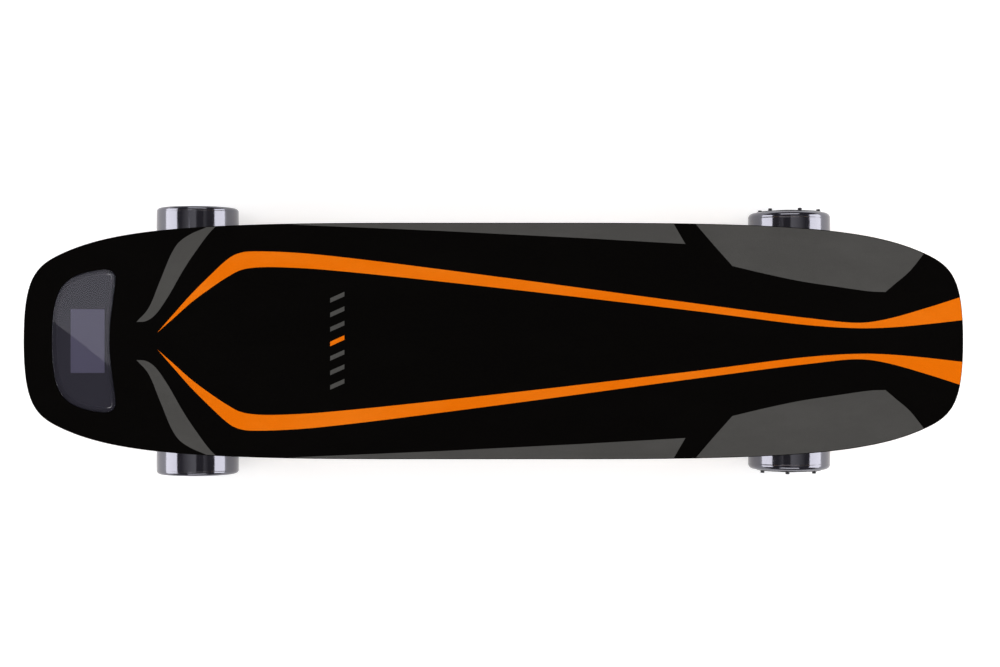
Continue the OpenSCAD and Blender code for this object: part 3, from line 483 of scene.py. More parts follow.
# The display's pocket is painted black inside.
pocket = Finish("pocket_paint", (0.006, 0.006, 0.007), 0.5)
wear(pocket, 0.3, 0.08, 90)
pocket.bump(pocket.noise(400, 4), 0.00005)
deck.data.materials.append(pocket.m)
pocket_front, pocket_back, pocket_half = window_x - 0.001, window_x + 0.066, 0.074
for face in deck.data.polygons:
    x, y, z = face.center
    if pocket_front < x < pocket_back and abs(y) < pocket_half and z > deck_under + 0.0005:
        face.material_index = 1
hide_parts("deck")
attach(deck, "board")

# ---- Grip sheet and its stripes ----
# Coarse black grit on a polyester backing, glued over the whole deck and trimmed at the edge.
# The orange and gray shapes are die-cut from coloured sheets and laid into the black one.
grit_under, grit_top = ply_top, sheet_top


def grit(name, colour, scuff_and_glint_tone):
    """Mineral grains in resin: uneven tone, long scuffs from shoes, and bright specks that are painted
    highlights (glints of the grains put into the colour).
    """
    rough = 0.85
    sheet = Finish(name, colour, rough, specular=0.02)
    grains = sheet.spots(2600)
    fine = sheet.noise(3800, 4, 0.7)
    scuffs = sheet.noise(9, 7, 0.65, sheet.mapped(scale=(1, 2.4, 1)))
    # Painted highlight: a sparse random mask of grain glints, lighter in the colour rather than from the
    # lamps.
    painted_glint = sheet.maths("GREATER_THAN", sheet.noise(5200, 2, 0.5), 0.68)
    dark = tuple(c * 0.78 for c in colour)
    light = tuple(min(1, c * 1.14) for c in colour)
    base = sheet.mix(sheet.span(fine, 0.25, 0.75, 0, 1), dark, light)
    worn = sheet.mix(sheet.span(scuffs, 0.45, 0.85, 0, 0.35), base, scuff_and_glint_tone)
    # The painted glints are mixed into the colour here, half way to the lighter tone that the scuffs also
    # use.
    sheet.colour(sheet.mix(sheet.maths("MULTIPLY", painted_glint, 0.5), worn, scuff_and_glint_tone))
    sheet.roughness(sheet.span(scuffs, 0.3, 0.7, rough - 0.08, rough + 0.06))
    sheet.bump(grains, 0.0003, 0.55)
    sheet.bump(fine, 0.00012, 0.5)
    return sheet.m


sheet = cut_piece("grip_black", deck_outline(), grit_under, grit_top)
round_rim(sheet, grit_top, 0.0007, 2)
mill(sheet, "well", window_outline(window_play), grit_under - past, grit_top + past)
bend_rails(sheet)
smooth(sheet, 30)
black_grit = grit("black_grit", (0.0014, 0.0011, 0.0009), (0.004, 0.0036, 0.0032))
sheet.data.materials.append(black_grit)
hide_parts("grip_sheet")
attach(sheet, "board")

orange_grit = grit("orange_grit", (0.77, 0.150, 0.0009), (0.86, 0.24, 0.02))
gray_grit = grit("gray_grit", (0.065, 0.063, 0.059), (0.105, 0.102, 0.097))


def flowing(points):
    """A smooth line through the points, tight where they lie close together."""
    steps = 8

    def between(p, q, low, high, t):
        share = (t - low) / (high - low)
        return tuple(a + (b - a) * share for a, b in zip(p, q))

    first = tuple(2 * a - b for a, b in zip(points[0], points[1]))
    last = tuple(2 * a - b for a, b in zip(points[-1], points[-2]))
    line, row = [], [first, *points, last]
    for a, b, c, d in zip(row, row[1:], row[2:], row[3:]):
        k = [0.0]
        for p, q in ((a, b), (b, c), (c, d)):
            k.append(k[-1] + math.sqrt(math.dist(p, q)))
        for i in range(steps):
            t = k[1] + (k[2] - k[1]) * i / steps
            ab = between(a, b, k[0], k[1], t)
            bc = between(b, c, k[1], k[2], t)
            cd = between(c, d, k[2], k[3], t)
            before = between(ab, bc, k[0], k[2], t)
            after = between(bc, cd, k[1], k[3], t)
            line.append(between(before, after, k[1], k[2], t))
    return [*line, points[-1]]


def along(points):
    """Positions on the deck, given as millimetres from the nose and from the middle line."""
    return [(x / 1000 - deck_length / 2, y / 1000) for x, y in points]


inlay_under, inlay_top = grit_top - 0.0004, grit_top + 0.0001
trim = cut_piece("trim", deck_outline(-0.0006), grit_top - 0.001, grit_top + 0.002)


def inlay(name, outline, finish):
    """A coloured shape and its mirror image, trimmed along the deck's edge."""
    for side, hand in ((1, "right"), (-1, "left")):
        one_side = [(x, side * y) for x, y in along(outline)]
        shape = cut_piece(f"{name}_{hand}", one_side, inlay_under, inlay_top)
        hollow(shape, trim, "INTERSECT")
        bend_rails(shape)
        shape.data.materials.clear()
        shape.data.materials.append(finish)
        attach(shape, "board")


stripe_outer = [
    (134, 8.5), (150, 26.8), (168, 47), (186, 65), (203, 80.8), (211, 86), (221, 89), (238, 89.6),
    (276, 88), (326, 83), (476, 64), (676, 37), (784, 23), (836, 18.2), (862, 21.6), (905, 33.6),
    (945, 46.5),
]
stripe_inner = [
    (134, 8.5), (150, 22.6), (168, 38.6), (186, 52), (204, 64), (217, 70.8), (234, 73.6),
    (276, 73), (326, 69), (476, 53), (676, 29.5), (784, 16), (836, 12.8), (870, 13.8), (905, 17),
    (945, 21.6),
]
inlay("stripe_orange", flowing(stripe_outer) + flowing(stripe_inner)[:0:-1], orange_grit)

swoosh_outer = [
    (113, 19), (124.6, 32), (136.6, 60), (148.6, 88.5), (156, 99), (168, 107), (184.6, 114), (193, 119),
]
swoosh_inner = [
    (113, 19), (122, 19.8), (130.6, 25), (142.6, 41), (160.6, 72), (172.6, 90), (186, 107.5), (198, 119),
]
inlay("swoosh_gray", flowing(swoosh_outer) + flowing(swoosh_inner)[:0:-1], gray_grit)

wedge = [(238, 118.5), (276, 115.8), (416, 110), (556, 103), (662, 97), (648, 120), (400, 125), (238, 120)]
inlay("wedge_gray", wedge, gray_grit)

panel_edge = flowing([(709, 75), (740, 67.6), (776, 60), (812, 54.5), (848, 49.5), (862, 49)])
panel_rim = flowing([(862, 49), (872, 57.5), (886, 69.5), (901, 88)])
panel = [(668, 121), *panel_edge, *panel_rim[1:], (930, 110), (880, 124)]
inlay("panel_gray", panel, gray_grit)
remove(trim)

# ---- Ornament on the deck ----
# A row of slim slanted bars, die-cut like the stripes. The middle one is orange.
bar_count, bar_pitch, bar_width = 7, 0.0145, 0.0045
bar_front, bar_back = -0.1632, -0.1490
front_shift, back_shift = -0.0052, 0.0012
for i in range(bar_count):
    middle = (i - (bar_count - 1) / 2) * bar_pitch
    front, back = middle + front_shift, middle + back_shift
    corners = [
        (bar_front, front), (bar_back, back), (bar_back, back + bar_width), (bar_front, front + bar_width),
    ]
    bar = cut_piece(f"ornament_bar_{i + 1}", corners, inlay_under, inlay_top)
    bar.data.materials.append(orange_grit if i == bar_count // 2 else gray_grit)
    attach(bar, "board")

# ---- Nose display ----
# A smoked acrylic window lies flush in the sheet on a foam gasket. Under it a black frame
# holds a small liquid crystal panel on its circuit board, closed from below by a tray.
lens_low, lens_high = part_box("display_window")
lens = cut_piece("smoked_window", window_outline(0), lens_low[2], lens_high[2])
round_rim(lens, lens_high[2], 0.0007, 3)
smooth(lens, 30)
smoked = Finish("smoked_acrylic", (0.020, 0.018, 0.032), 0.01, specular=0.5)
socket(smoked.shader, "IOR", 1.49)
socket(smoked.shader, "Alpha", 0.42)
hairlines = smoked.noise(70, 3, 0.5, smoked.mapped(scale=(1, 9, 1), turn=(0, 0, 0.5)))
smoked.roughness(smoked.span(hairlines, 0.55, 0.8, 0.006, 0.018))
smoked.colour(smoked.mix(smoked.noise(30, 4), (0.016, 0.014, 0.027), (0.021, 0.019, 0.034)))
lens.data.materials.append(smoked.m)
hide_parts("display_window")
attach(lens, "board")


def dress(node, body, finish, width=0.0005, segments=2):
    """The CAD piece again, with its edges eased and its finish on."""
    sharp = 35
    source = frame["nodes"][node]
    piece = bpy.data.objects.new(f"{node}_finished", source.data.copy())
    bpy.context.scene.collection.objects.link(piece)
    piece.data.name = piece.name
    take(piece)
    bpy.ops.object.mode_set(mode="EDIT")
    bpy.ops.mesh.select_all(action="SELECT")
    bpy.ops.mesh.remove_doubles(threshold=2e-6)
    bpy.ops.mesh.dissolve_limited(angle_limit=math.radians(0.8))
    bpy.ops.mesh.select_all(action="DESELECT")
    bpy.ops.object.mode_set(mode="OBJECT")
    if width:
        ease = piece.modifiers.new("ease", "BEVEL")
        ease.width = width
        ease.segments = segments
        ease.limit_method = "ANGLE"
        ease.angle_limit = math.radians(sharp)
        ease.use_clamp_overlap = True
        ease.harden_normals = False
        bpy.ops.object.modifier_apply(modifier="ease")
    piece.data.materials.clear()
    piece.data.materials.append(finish)
    smooth(piece, sharp)
    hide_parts(node)
    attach(piece, body)
    return piece


def turned(name, profile, origin=(0, 0, 0), axis=(0, 0, 1), steps=96):
    """A lathe-turned piece: profile is a closed line of (radius, height) round the axis."""
    clear()
    bpy.ops.mesh.primitive_circle_add(vertices=len(profile), radius=1, fill_type="NOTHING")
    piece = bpy.context.object
    piece.name = piece.data.name = name
    for v, (r, h) in zip(piece.data.vertices, profile):
        v.co = (r, 0, h)
    bpy.ops.object.mode_set(mode="EDIT")
    bpy.ops.mesh.select_all(action="SELECT")
    bpy.ops.mesh.spin(steps=steps, angle=2 * math.pi, center=(0, 0, 0), axis=(0, 0, 1))
    bpy.ops.mesh.select_all(action="SELECT")
    bpy.ops.mesh.remove_doubles(threshold=1e-6)
    bpy.ops.mesh.normals_make_consistent(inside=False)
    bpy.ops.object.mode_set(mode="OBJECT")
    turn = Vector((0, 0, 1)).rotation_difference(Vector(axis)).to_matrix().to_4x4()
    piece.data.transform(Matrix.Translation(origin) @ turn)
    piece.location = (0, 0, 0)
    smooth(piece, 32)
    return piece


def arc(centre, radius, start, stop, steps=6):
    """Points of a circle's arc between two angles in degrees."""
    return [
        (
            centre[0] + radius * math.cos(math.radians(start + (stop - start) * i / steps)),
            centre[1] + radius * math.sin(math.radians(start + (stop - start) * i / steps)),
        )
        for i in range(steps + 1)
    ]


moulded = Finish("moulded_black", (0.012, 0.012, 0.013), 0.42)
wear(moulded, 0.25, 0.07, 60)
moulded.bump(moulded.spots(1500), 0.00006, 0.5)
moulded.bump(moulded.noise(220, 3), 0.00004)

glass = Finish("liquid_crystal", (0.39, 0.36, 0.59), 0.12)
net = glass.maths("MULTIPLY", glass.bands(420, "Y"), glass.bands(420, "X"))
glass.colour(glass.mix(net, (0.36, 0.33, 0.55), (0.42, 0.39, 0.63)))
glass.roughness(glass.span(glass.noise(60), 0.3, 0.7, 0.08, 0.16))


def tracks(board, scale, gap, row):
    """Copper tracks in blocks under green solder resist, with their slight relief."""
    copper = board.add("ShaderNodeTexBrick")
    for name, value in (("Scale", scale), ("Mortar Size", gap), ("Brick Width", 0.9), ("Row Height", row)):
        socket(copper, name, value)
    socket(copper, "Color1", (0.010, 0.085, 0.032, 1))
    socket(copper, "Color2", (0.013, 0.10, 0.038, 1))
    socket(copper, "Mortar", (0.035, 0.20, 0.075, 1))
    board.link(board.place, copper.inputs["Vector"])
    board.bump(copper.outputs["Fac"], 0.00003)
    return copper.outputs["Color"]


board_green = Finish("circuit_board", (0.012, 0.09, 0.035), 0.35)
board_green.colour(tracks(board_green, 160, 0.035, 0.22))
board_green.roughness(board_green.span(board_green.noise(80), 0.3, 0.7, 0.25, 0.45))

foam = Finish("foam_rubber", (0.018, 0.018, 0.018), 0.8, specular=0.25)
wear(foam, 0.2, 0.06, 120)
foam.bump(foam.spots(1400), 0.00018, 0.7)

ribbon = Finish("ribbon_cable", (0.62, 0.62, 0.58), 0.5)
wires = ribbon.bands(250, "Y")
ribbon.colour(ribbon.mix(wires, (0.42, 0.42, 0.40), (0.68, 0.68, 0.64)))
ribbon.roughness(ribbon.span(ribbon.noise(90), 0.3, 0.7, 0.42, 0.58))
ribbon.bump(wires, 0.0003)

mask = Finish("display_mask", (0.012, 0.012, 0.013), 0.42)
wear(mask, 0.2, 0.04, 60)
mask.bump(mask.noise(90, 3), 0.00001, 0.5)
dress("lcd_frame", "board", mask.m, 0.0003)
dress("lcd_panel", "board", glass.m, 0.0004)
dress("display_gasket", "board", foam.m, 0)
dress("display_board", "board", board_green.m, 0.0002, 1)
dress("display_tray", "board", moulded.m, 0.0008, 3)
dress("display_ribbon", "board", ribbon.m, 0.0002, 1)

# ---- Trucks ----
# Each truck is a cast baseplate and hanger, powder coated black. A grade 8 kingpin clamps
# two orange urethane bushings round the hanger's ring; its nose turns in a urethane cup.
powder = Finish("powder_coat", (0.014, 0.014, 0.015), 0.36, specular=0.5)
wear(powder, 0.3, 0.08, 35)
powder.bump(powder.noise(420, 4, 0.6), 0.00012, 0.7)
powder.bump(powder.noise(60, 3), 0.00025, 0.5)

zinc = Finish("zinc_plate", (0.60, 0.60, 0.62), 0.3, metal=1.0)
wear(zinc, 0.14, 0.1, 90)
zinc.bump(zinc.noise(900, 3), 0.00003)

oxide = Finish("black_oxide", (0.035, 0.034, 0.036), 0.34, metal=0.85)
wear(oxide, 0.3, 0.1, 110)
oxide.bump(oxide.noise(1200, 3), 0.00003)

bright = Finish("turned_steel", (0.66, 0.66, 0.68), 0.2, metal=1.0)
wear(bright, 0.1, 0.07, 130)
rings = bright.noise(70, 2, 0.5, bright.mapped(scale=(0.3, 60, 0.3)))
bright.bump(rings, 0.00004, 0.6)

brass = Finish("turned_brass", (0.78, 0.56, 0.24), 0.28, metal=1.0)
wear(brass, 0.16, 0.08, 120)
brass.bump(brass.noise(70, 2, 0.5, brass.mapped(scale=(1, 1, 60))), 0.00005, 0.6)

urethane = Finish("orange_urethane", (0.80, 0.17, 0.012), 0.32)
wear(urethane, 0.14, 0.08, 70)
socket(urethane.shader, "Subsurface Weight", 0.25)
socket(urethane.shader, "Subsurface Scale", 0.004)
urethane.bump(urethane.noise(260, 4), 0.00006)

cup_urethane = Finish("milky_urethane", (0.78, 0.77, 0.72), 0.36)
wear(cup_urethane, 0.06, 0.08, 90)
socket(cup_urethane.shader, "Subsurface Weight", 0.2)
socket(cup_urethane.shader, "Subsurface Scale", 0.003)
cup_urethane.bump(cup_urethane.noise(300, 4), 0.00005)

thread_pitch, thread_depth, thread_start = 0.0009, 0.0004, 0.0004


def cut_thread(piece, tip, line, radius, turns):
    """Cuts thread grooves into the end of a pin; line points from its tip along it."""
    clear_of, crest = radius + 0.002, radius + 0.0001
    comb = [(clear_of, thread_start), (clear_of, thread_start + turns * thread_pitch)]
    for i in range(turns, 0, -1):
        comb.append((crest, thread_start + i * thread_pitch))
        comb.append((radius - thread_depth, thread_start + (i - 0.5) * thread_pitch))
    comb.append((crest, thread_start))
    tool = turned("thread_tool", comb, tip, line, 64)
    hollow(piece, tool)
    remove(tool)


dress("riser_pads", "board", foam.m, 0.0005)
dress("deck_inserts", "board", brass.m, 0.0002, 1)
dress("truck_bolts", "board", oxide.m, 0.0003, 2)
dress("truck_baseplates", "board", powder.m, 0.0012, 3)
kingpins = dress("kingpins", "board", zinc.m, 0.0004, 2)
dress("kingpin_nuts", "board", zinc.m, 0.0006, 2)
dress("bushing_washers", "board", zinc.m, 0.0005, 2)
dress("pivot_cups", "board", cup_urethane.m, 0.0004, 2)
dress("front_hanger", "front_hanger", powder.m, 0.0012, 3)
front_axle = dress("front_axle", "front_hanger", bright.m, 0.0006, 2)
axle_low, axle_high = (Vector(corner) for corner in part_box("front_axle"))
axle_middle = (axle_low + axle_high) / 2
axle_radius = (axle_high.x - axle_low.x) / 2
axle_half = (axle_high.y - axle_low.y) / 2
for hand in (-1, 1):
    axle_tip = axle_middle + Vector((0, hand * axle_half, 0))
    cut_thread(front_axle, axle_tip, (0, -hand, 0), axle_radius, 3)
smooth(front_axle, 35)
dress("front_axle_nuts", "front_hanger", zinc.m, 0.0004, 2)
dress("front_inner_races", "front_hanger", bright.m, 0.0002, 1)
dress("rear_hanger", "rear_hanger", powder.m, 0.0012, 3)
dress("rear_axle", "rear_hanger", bright.m, 0.0008, 2)
dress("rear_inner_races", "rear_hanger", bright.m, 0.0002, 1)

# Bushings: a barrel on the board's side of the ring and a cone on the road's side. Each
# squeezes between its seat and the ring as the hanger turns. The kingpin's end is threaded.
joints = {j["name"]: j for j in frame["record"]["behaviour"]["joints"]}
ring_half, bushing_length, pin_hole = 0.005, 0.0135, 0.0049


def on_ring(end, up):
    """A point on a truck's kingpin line, up from the middle of its ring."""
    joint = joints["front_steer" if end < 0 else "rear_steer"]
    x, y, z = joint["pos_m"]
    lean = Vector((-end * abs(joint["axis"][2]), 0, abs(joint["axis"][0])))
    return Vector((x, y, z)) + up * lean


def barrel_profile():
    """The bushing on the board's side: rounded ends and a slight belly."""
    radius, belly, corner, steps = 0.0130, 0.0005, 0.0012, 8
    rise = bushing_length - 2 * corner
    wall = [
        (radius + belly * math.sin(math.pi * i / steps), corner + rise * i / steps)
        for i in range(1, steps)
    ]
    return [
        (pin_hole, 0),
        *arc((radius - corner, corner), corner, 270, 360, 4),
        *wall,
        *arc((radius - corner, bushing_length - corner), corner, 0, 90, 4),
        (pin_hole, bushing_length),
    ]


def cone_profile():
    """The bushing on the road's side: narrower at its washer, with a slight belly."""
    foot, widening, belly, corner, steps = 0.0112, 0.0014, 0.0004, 0.001, 6
    foot_corner, top_corner, start, rise = 0.0100, 0.0117, 0.0015, 0.0105
    wall = [
        (foot + widening * i / steps + belly * math.sin(math.pi * i / steps), start + rise * i / steps)
        for i in range(1, steps)
    ]
    return [
        (pin_hole, 0),
        *arc((foot_corner, corner), corner, 270, 350, 4),
        *wall,
        *arc((top_corner, bushing_length - corner), corner, 0, 90, 4),
        (pin_hole, bushing_length),
    ]


pin_radius, pin_end = 0.00475, 0.0325
seat_up = ring_half + bushing_length
for end, truck in ((-1, "front"), (1, "rear")):
    line = (on_ring(end, 1) - on_ring(end, 0)).normalized()
    cut_thread(kingpins, on_ring(end, -pin_end), line, pin_radius, 4)
    for name, profile, foot, seat, face in (
        ("barrel", barrel_profile(), ring_half, seat_up, ring_half),
        ("cone", cone_profile(), -seat_up, -seat_up, -ring_half),
    ):
        bushing = turned(f"{truck}_bushing_{name}", profile, on_ring(end, foot), line, 64)
        bushing.data.materials.append(urethane.m)
        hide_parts(f"{truck}_bushings")
        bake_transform(bushing)
smooth(kingpins, 35)

# ---- Front wheels ----
# Black urethane is cast round a spoked nylon core that carries two bearings. The tread is
# polished by the road, the lips keep a fine parting line.
tread_outer = 0.0425
gloss_black = Finish("cast_urethane", (0.006, 0.005, 0.009), 0.1, specular=0.5)
socket(gloss_black.shader, "IOR", 2.1)
socket(gloss_black.shader, "Specular Tint", (0.90, 0.89, 1.0, 1))
cast_tone = gloss_black.mix(gloss_black.noise(50, 6), (0.004, 0.0035, 0.007), (0.009, 0.008, 0.013))
gloss_black.colour(cast_tone)
gloss_black.roughness(gloss_black.span(gloss_black.noise(120, 6, 0.6), 0.3, 0.75, 0.06, 0.15))
gloss_black.bump(gloss_black.noise(500, 4, 0.6), 0.00003, 0.6)
gloss_black.bump(gloss_black.noise(18, 3), 0.0004, 0.25)


def place_wheel(piece, node, hand):
    """Moves a wheel turned about Z, outer face up, onto its axle."""
    low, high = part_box(node)
    centre = (Vector(low) + Vector(high)) / 2
    turn = Matrix.Rotation(math.radians(-90 * hand), 4, "X")
    piece.data.transform(Matrix.Translation(centre) @ turn)


def tyre_profile(side, half, lip, steps, gap, mark, depth):
    """A tyre's closed profile: its side, a round lip, and a fine line under the lip."""
    below = half - lip
    edge = arc((tread_outer - lip, below), lip, 88, 0, steps)
    line = [
        (tread_outer, below - gap), (tread_outer - depth, below - gap - mark),
        (tread_outer, below - gap - 2 * mark),
    ]
    upper = side + edge + line
    return upper + [(r, -h) for r, h in reversed(upper)]


front_side = [
    (0.02303, 0.0140), (0.0245, 0.0148), (0.0262, 0.0172), (0.0310, 0.0228),
    (0.0338, 0.0246), (0.0352, 0.0254), (0.0368, 0.0259),
]
front_profile = tyre_profile(front_side, 0.026, 0.0036, 8, 0.0006, 0.0003, 0.00012)
for hand, side in ((-1, "left"), (1, "right")):
    tyre = turned(f"front_{side}_wheel_tyre", front_profile, steps=128)
    place_wheel(tyre, f"front_{side}_tyre", hand)
    tyre.data.materials.append(gloss_black.m)
    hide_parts(f"front_{side}_tyre")
    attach(tyre, f"front_{side}_wheel")
    dress(f"front_{side}_core", f"front_{side}_wheel", moulded.m, 0.0006, 2)
    dress(f"front_{side}_bearings", f"front_{side}_wheel", bright.m, 0.0002, 1)

# ---- Rear hub motors ----
# A steel can with magnets inside carries a urethane sleeve and turns round a wound stator
# on the fixed axle. An anodised cover with six socket screws closes its outer end.
can_radius, rear_half, step_in = 0.034, 0.025, 0.0005
rear_side = [
    (can_radius + 0.00003, rear_half), (can_radius + 0.0014, rear_half),
    (can_radius + 0.0017, rear_half - step_in), (can_radius + 0.0023, rear_half - step_in),
    (can_radius + 0.0026, rear_half),
]
rear_profile = tyre_profile(rear_side, rear_half, 0.0052, 9, 0.0008, 0.0004, 0.0002)

anodised = Finish("anodised_cover", (0.020, 0.020, 0.022), 0.3, metal=0.6)
wear(anodised, 0.25, 0.08, 80)
anodised.bump(anodised.noise(900, 3), 0.00003)
anodised.bump(anodised.noise(30, 2), 0.0001, 0.4)
blued = Finish("blued_can", (0.075, 0.077, 0.085), 0.32, metal=0.9)
wear(blued, 0.2, 0.08, 70)
blued.bump(blued.noise(80, 2, 0.5, blued.mapped(scale=(0.4, 50, 0.4))), 0.00004, 0.6)
plated = Finish("plated_magnets", (0.52, 0.51, 0.50), 0.22, metal=1.0)
wear(plated, 0.12, 0.06, 160)
plated.bump(plated.noise(700, 3), 0.00002)
varnished = Finish("stator_laminations", (0.26, 0.25, 0.26), 0.42, metal=0.8)
sheets = varnished.bands(600, "Y")
varnished.colour(varnished.mix(sheets, (0.18, 0.17, 0.18), (0.32, 0.31, 0.32)))
varnished.roughness(varnished.span(varnished.noise(200), 0.3, 0.7, 0.34, 0.5))
varnished.bump(sheets, 0.0001)
enamelled = Finish("enamelled_copper", (0.62, 0.23, 0.07), 0.25, metal=0.9)
turns = enamelled.noise(240, 2, 0.4, enamelled.mapped(scale=(1, 12, 1)))
wire = enamelled.span(turns, 0.35, 0.65, 0, 1)
enamelled.colour(enamelled.mix(wire, (0.42, 0.13, 0.035), (0.74, 0.30, 0.10)))
enamelled.roughness(enamelled.span(enamelled.noise(180), 0.3, 0.7, 0.18, 0.34))
enamelled.bump(turns, 0.0003)

screw_circle, screw_count, first_screw = can_radius - 0.0035, 6, 42
head_radius, head_height, head_top = 0.0022, 0.0023, 0.0286
key_radius, key_depth = 0.0012, 0.0015
cover_face, ring_radii = 0.0260, (0.0165, 0.0255)
ring_depth, ring_width, ring_flare, ring_over = 0.0004, 0.0009, 0.0003, 0.0002


def cut_rings(cover, node, hand):
    """Turns two shallow rings into the cover's outer face."""
    deep, above = cover_face - ring_depth, cover_face + ring_over
    for inner in ring_radii:
        outer = inner + ring_width
        ring = [(inner, deep), (outer, deep), (outer + ring_flare, above), (inner - ring_flare, above)]
        tool = turned("ring_tool", ring, steps=128)
        place_wheel(tool, node, hand)
        hollow(cover, tool)
        remove(tool)


def cut_keys(cover, node, hand):
    """Cuts a hexagonal key hole into each cover screw, and gives the screws their finish."""
    low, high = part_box(node)
    centre = (Vector(low) + Vector(high)) / 2
    turn = Matrix.Rotation(math.radians(-90 * hand), 3, "X")
    heads = []
    for i in range(screw_count):
        angle = math.radians(360 / screw_count * i + first_screw)
        spot = Vector((screw_circle * math.cos(angle), screw_circle * math.sin(angle), head_top))
        clear()
        bpy.ops.mesh.primitive_cylinder_add(vertices=6, radius=key_radius, depth=2 * key_depth)
        key = bpy.context.object
        key.data.transform(Matrix.Translation(spot))
        place_wheel(key, node, hand)
        hollow(cover, key)
        remove(key)
        heads.append(centre + turn @ spot)
    cover.data.materials.append(oxide.m)
    for face in cover.data.polygons:
        for head in heads:
            off = face.center - head
            if math.hypot(off.x, off.z) < head_radius and abs(off.y) < head_height:
                face.material_index = 1
    smooth(cover, 35)


for hand, side in ((-1, "left"), (1, "right")):
    body = f"rear_{side}_rotor"
    tyre = turned(f"rear_{side}_wheel_tyre", rear_profile, steps=128)
    place_wheel(tyre, f"rear_{side}_tyre", hand)
    tyre.data.materials.append(gloss_black.m)
    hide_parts(f"rear_{side}_tyre")
    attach(tyre, body)
    dress(f"rear_{side}_can", body, blued.m, 0.0005, 2)
    dress(f"rear_{side}_magnets", body, plated.m, 0.0003, 1)
    cover = dress(f"rear_{side}_cover", body, anodised.m, 0.0004, 2)
    cut_rings(cover, f"rear_{side}_tyre", hand)
    cut_keys(cover, f"rear_{side}_tyre", hand)
    dress(f"rear_{side}_bearings", body, bright.m, 0.0002, 1)
dress("stators", "rear_hanger", varnished.m, 0.0002, 1)
dress("stator_coils", "rear_hanger", enamelled.m, 0.0008, 3)

# ---- Boxes under the deck ----
# Two tubs moulded in black nylon are screwed to the deck on rubber frames. The front one
# holds twenty cells and their board, the rear one the motor controller on a finned plate.
battery_low, battery_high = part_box("battery_cover")
box_floor = battery_low[2]
tub = dress("battery_cover", "board", moulded.m, 0.0014, 3)
flute_count, flute_half, flute_depth = 9, 0.0012, 0.0007
flute_ends = battery_low[0] + 0.030, battery_high[0] - 0.030
flute_span = (battery_high[1] - battery_low[1]) / 2 - 0.028
for i in range(flute_count):
    y = (i / (flute_count - 1) * 2 - 1) * flute_span
    front_end = arc((flute_ends[0], y), flute_half, 90, 270, 8)
    back_end = arc((flute_ends[1], y), flute_half, -90, 90, 8)
    mill(tub, "flute", front_end + back_end, box_floor - 0.001, box_floor + flute_depth)
smooth(tub, 35)
dress("controller_cover", "board", moulded.m, 0.0014, 3)
dress("box_gaskets", "board", foam.m, 0.0002, 1)
dress("box_screws", "board", oxide.m, 0.0004, 2)

brushed = Finish("brushed_aluminium", (0.66, 0.67, 0.69), 0.3, metal=1.0)
wear(brushed, 0.08, 0.06, 60)
strokes = brushed.noise(40, 3, 0.6, brushed.mapped(scale=(1, 60, 60)))
brushed.bump(strokes, 0.00006, 0.7)
dress("controller_heatsink", "board", brushed.m, 0.0004, 2)

# Cells in shrink wrap, with bare steel ends.
cell_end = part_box("battery_cells")[1][1]
wrap = Finish("cell_wrap", (0.03, 0.22, 0.42), 0.3)
off_middle = wrap.maths("ABSOLUTE", wrap.axes()["Y"])
reach = wrap.maths("ABSOLUTE", wrap.maths("SUBTRACT", off_middle, cell_end / 2 + 0.0005))
bare = wrap.maths("GREATER_THAN", reach, cell_end / 2 - 0.0016)
film = wrap.mix(wrap.noise(60, 5), (0.024, 0.19, 0.37), (0.036, 0.26, 0.48))
wrap.colour(wrap.mix(bare, film, (0.55, 0.55, 0.56)))
wrap.link(bare, wrap.shader.inputs["Metallic"])
wrap.roughness(wrap.span(wrap.noise(130, 4), 0.3, 0.7, 0.2, 0.36))
wrap.bump(wrap.noise(25, 5, 0.6, wrap.mapped(scale=(1, 6, 1))), 0.0002, 0.5)
dress("battery_cells", "board", wrap.m, 0.0009, 3)

nickel = Finish("nickel_strip", (0.62, 0.60, 0.56), 0.26, metal=1.0)
wear(nickel, 0.12, 0.08, 140)
nickel.bump(nickel.spots(700), 0.00008, 0.5)
dress("cell_strips", "board", nickel.m, 0.0001, 1)


def populated(name, low, high):
    """A circuit board's finish between two heights, and its dark components beyond them."""
    board = Finish(name, (0.012, 0.09, 0.035), 0.35)
    height = board.axes()["Z"]
    above = board.maths("GREATER_THAN", height, high)
    below = board.maths("LESS_THAN", height, low)
    part = board.maths("MAXIMUM", above, below)
    case = board.mix(board.noise(120, 4), (0.010, 0.010, 0.011), (0.020, 0.020, 0.022))
    board.colour(board.mix(part, tracks(board, 150, 0.03, 0.25), case))
    board.roughness(board.span(board.noise(90), 0.3, 0.7, 0.28, 0.48))
    return board.m


board_thickness = 0.0016
board_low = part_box("battery_board")[0][2]
finish = populated("battery_board", board_low, board_low + board_thickness)
dress("battery_board", "board", finish, 0.0002, 1)
board_low = box_floor + 0.010
finish = populated("controller_board", board_low, board_low + board_thickness)
dress("controller_board", "board", finish, 0.0003, 2)

red_sleeve = Finish("red_silicone", (0.55, 0.012, 0.010), 0.4)
wear(red_sleeve, 0.14, 0.07, 120)
red_sleeve.bump(red_sleeve.noise(300, 3), 0.00005)
dress("power_harness", "board", red_sleeve.m, 0.0004, 2)

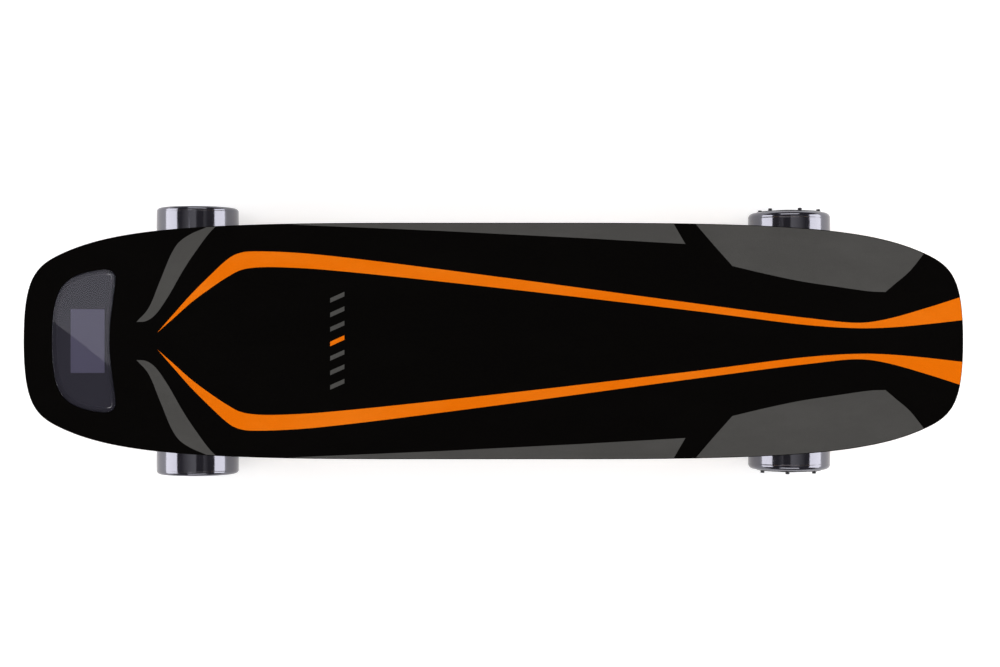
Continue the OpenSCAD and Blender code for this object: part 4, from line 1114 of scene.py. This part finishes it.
# ---- Switch, charge socket and motor cables ----
# A sealed steel push switch and a charge socket under a hinged rubber cap sit in one side.
# The motor cables leave through two glands and run in braided sleeves to the rear hanger.
dress("switch_housing", "board", bright.m, 0.0006, 3)
orange_cap = Finish("orange_plastic", (0.78, 0.20, 0.012), 0.36)
wear(orange_cap, 0.1, 0.07, 150)
orange_cap.bump(orange_cap.spots(2200), 0.00004, 0.5)
dress("power_button", "power_button", orange_cap.m, 0.0009, 4)
dress("charge_socket", "board", moulded.m, 0.0004, 2)
dress("charge_cap", "charge_cap", foam.m, 0.0005, 3)
dress("cable_glands", "board", moulded.m, 0.0005, 2)

braid = Finish("braided_sleeve", (0.016, 0.016, 0.017), 0.55)
for turn in (0.8, -0.8):
    braid.bump(braid.bands(420, "X", braid.mapped(turn=(turn, turn, turn))), 0.00025, 0.8)
braid.colour(braid.mix(braid.noise(200, 4), (0.010, 0.010, 0.011), (0.030, 0.030, 0.032)))
braid.roughness(braid.span(braid.noise(80), 0.3, 0.7, 0.45, 0.65))

leads_low, leads_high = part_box("motor_leads")
lead_radius, lead_held = 0.0035, Vector((0.004, 0, 0))
gland_y, boss_y = 0.052, 0.067
straight, droop = Vector((0.044, 0, 0)), Vector((0, 0, -0.002))
for side, hand in ((-1, "left"), (1, "right")):
    start = Vector((leads_low[0], side * gland_y, leads_high[2] - lead_radius))
    end = Vector((leads_high[0], side * boss_y, leads_low[2] + lead_radius))
    clear()
    bpy.ops.curve.primitive_bezier_curve_add(location=(0, 0, 0))
    lead = bpy.context.object
    lead.name = f"motor_lead_{hand}"
    lead.data.bevel_depth = lead_radius
    lead.data.bevel_resolution = 5
    lead.data.use_fill_caps = True
    spline = lead.data.splines[0]
    spline.resolution_u = 40
    first, last = spline.bezier_points
    for point in (first, last):
        point.handle_left_type = point.handle_right_type = "FREE"
    first.co, last.co = start, end
    first.handle_left = start - straight
    first.handle_right = start + straight + droop
    last.handle_left = end - straight
    last.handle_right = end + straight
    bpy.ops.object.convert(target="MESH")
    lead = bpy.context.object
    bpy.ops.object.mode_set(mode="EDIT")
    bpy.ops.mesh.select_all(action="SELECT")
    bpy.ops.mesh.remove_doubles(threshold=1e-6)
    bpy.ops.mesh.normals_make_consistent(inside=False)
    bpy.ops.object.mode_set(mode="OBJECT")
    lead.data.name = lead.name
    smooth(lead, 50)
    lead.data.materials.clear()
    lead.data.materials.append(braid.m)
    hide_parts("motor_leads")
    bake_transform(lead)
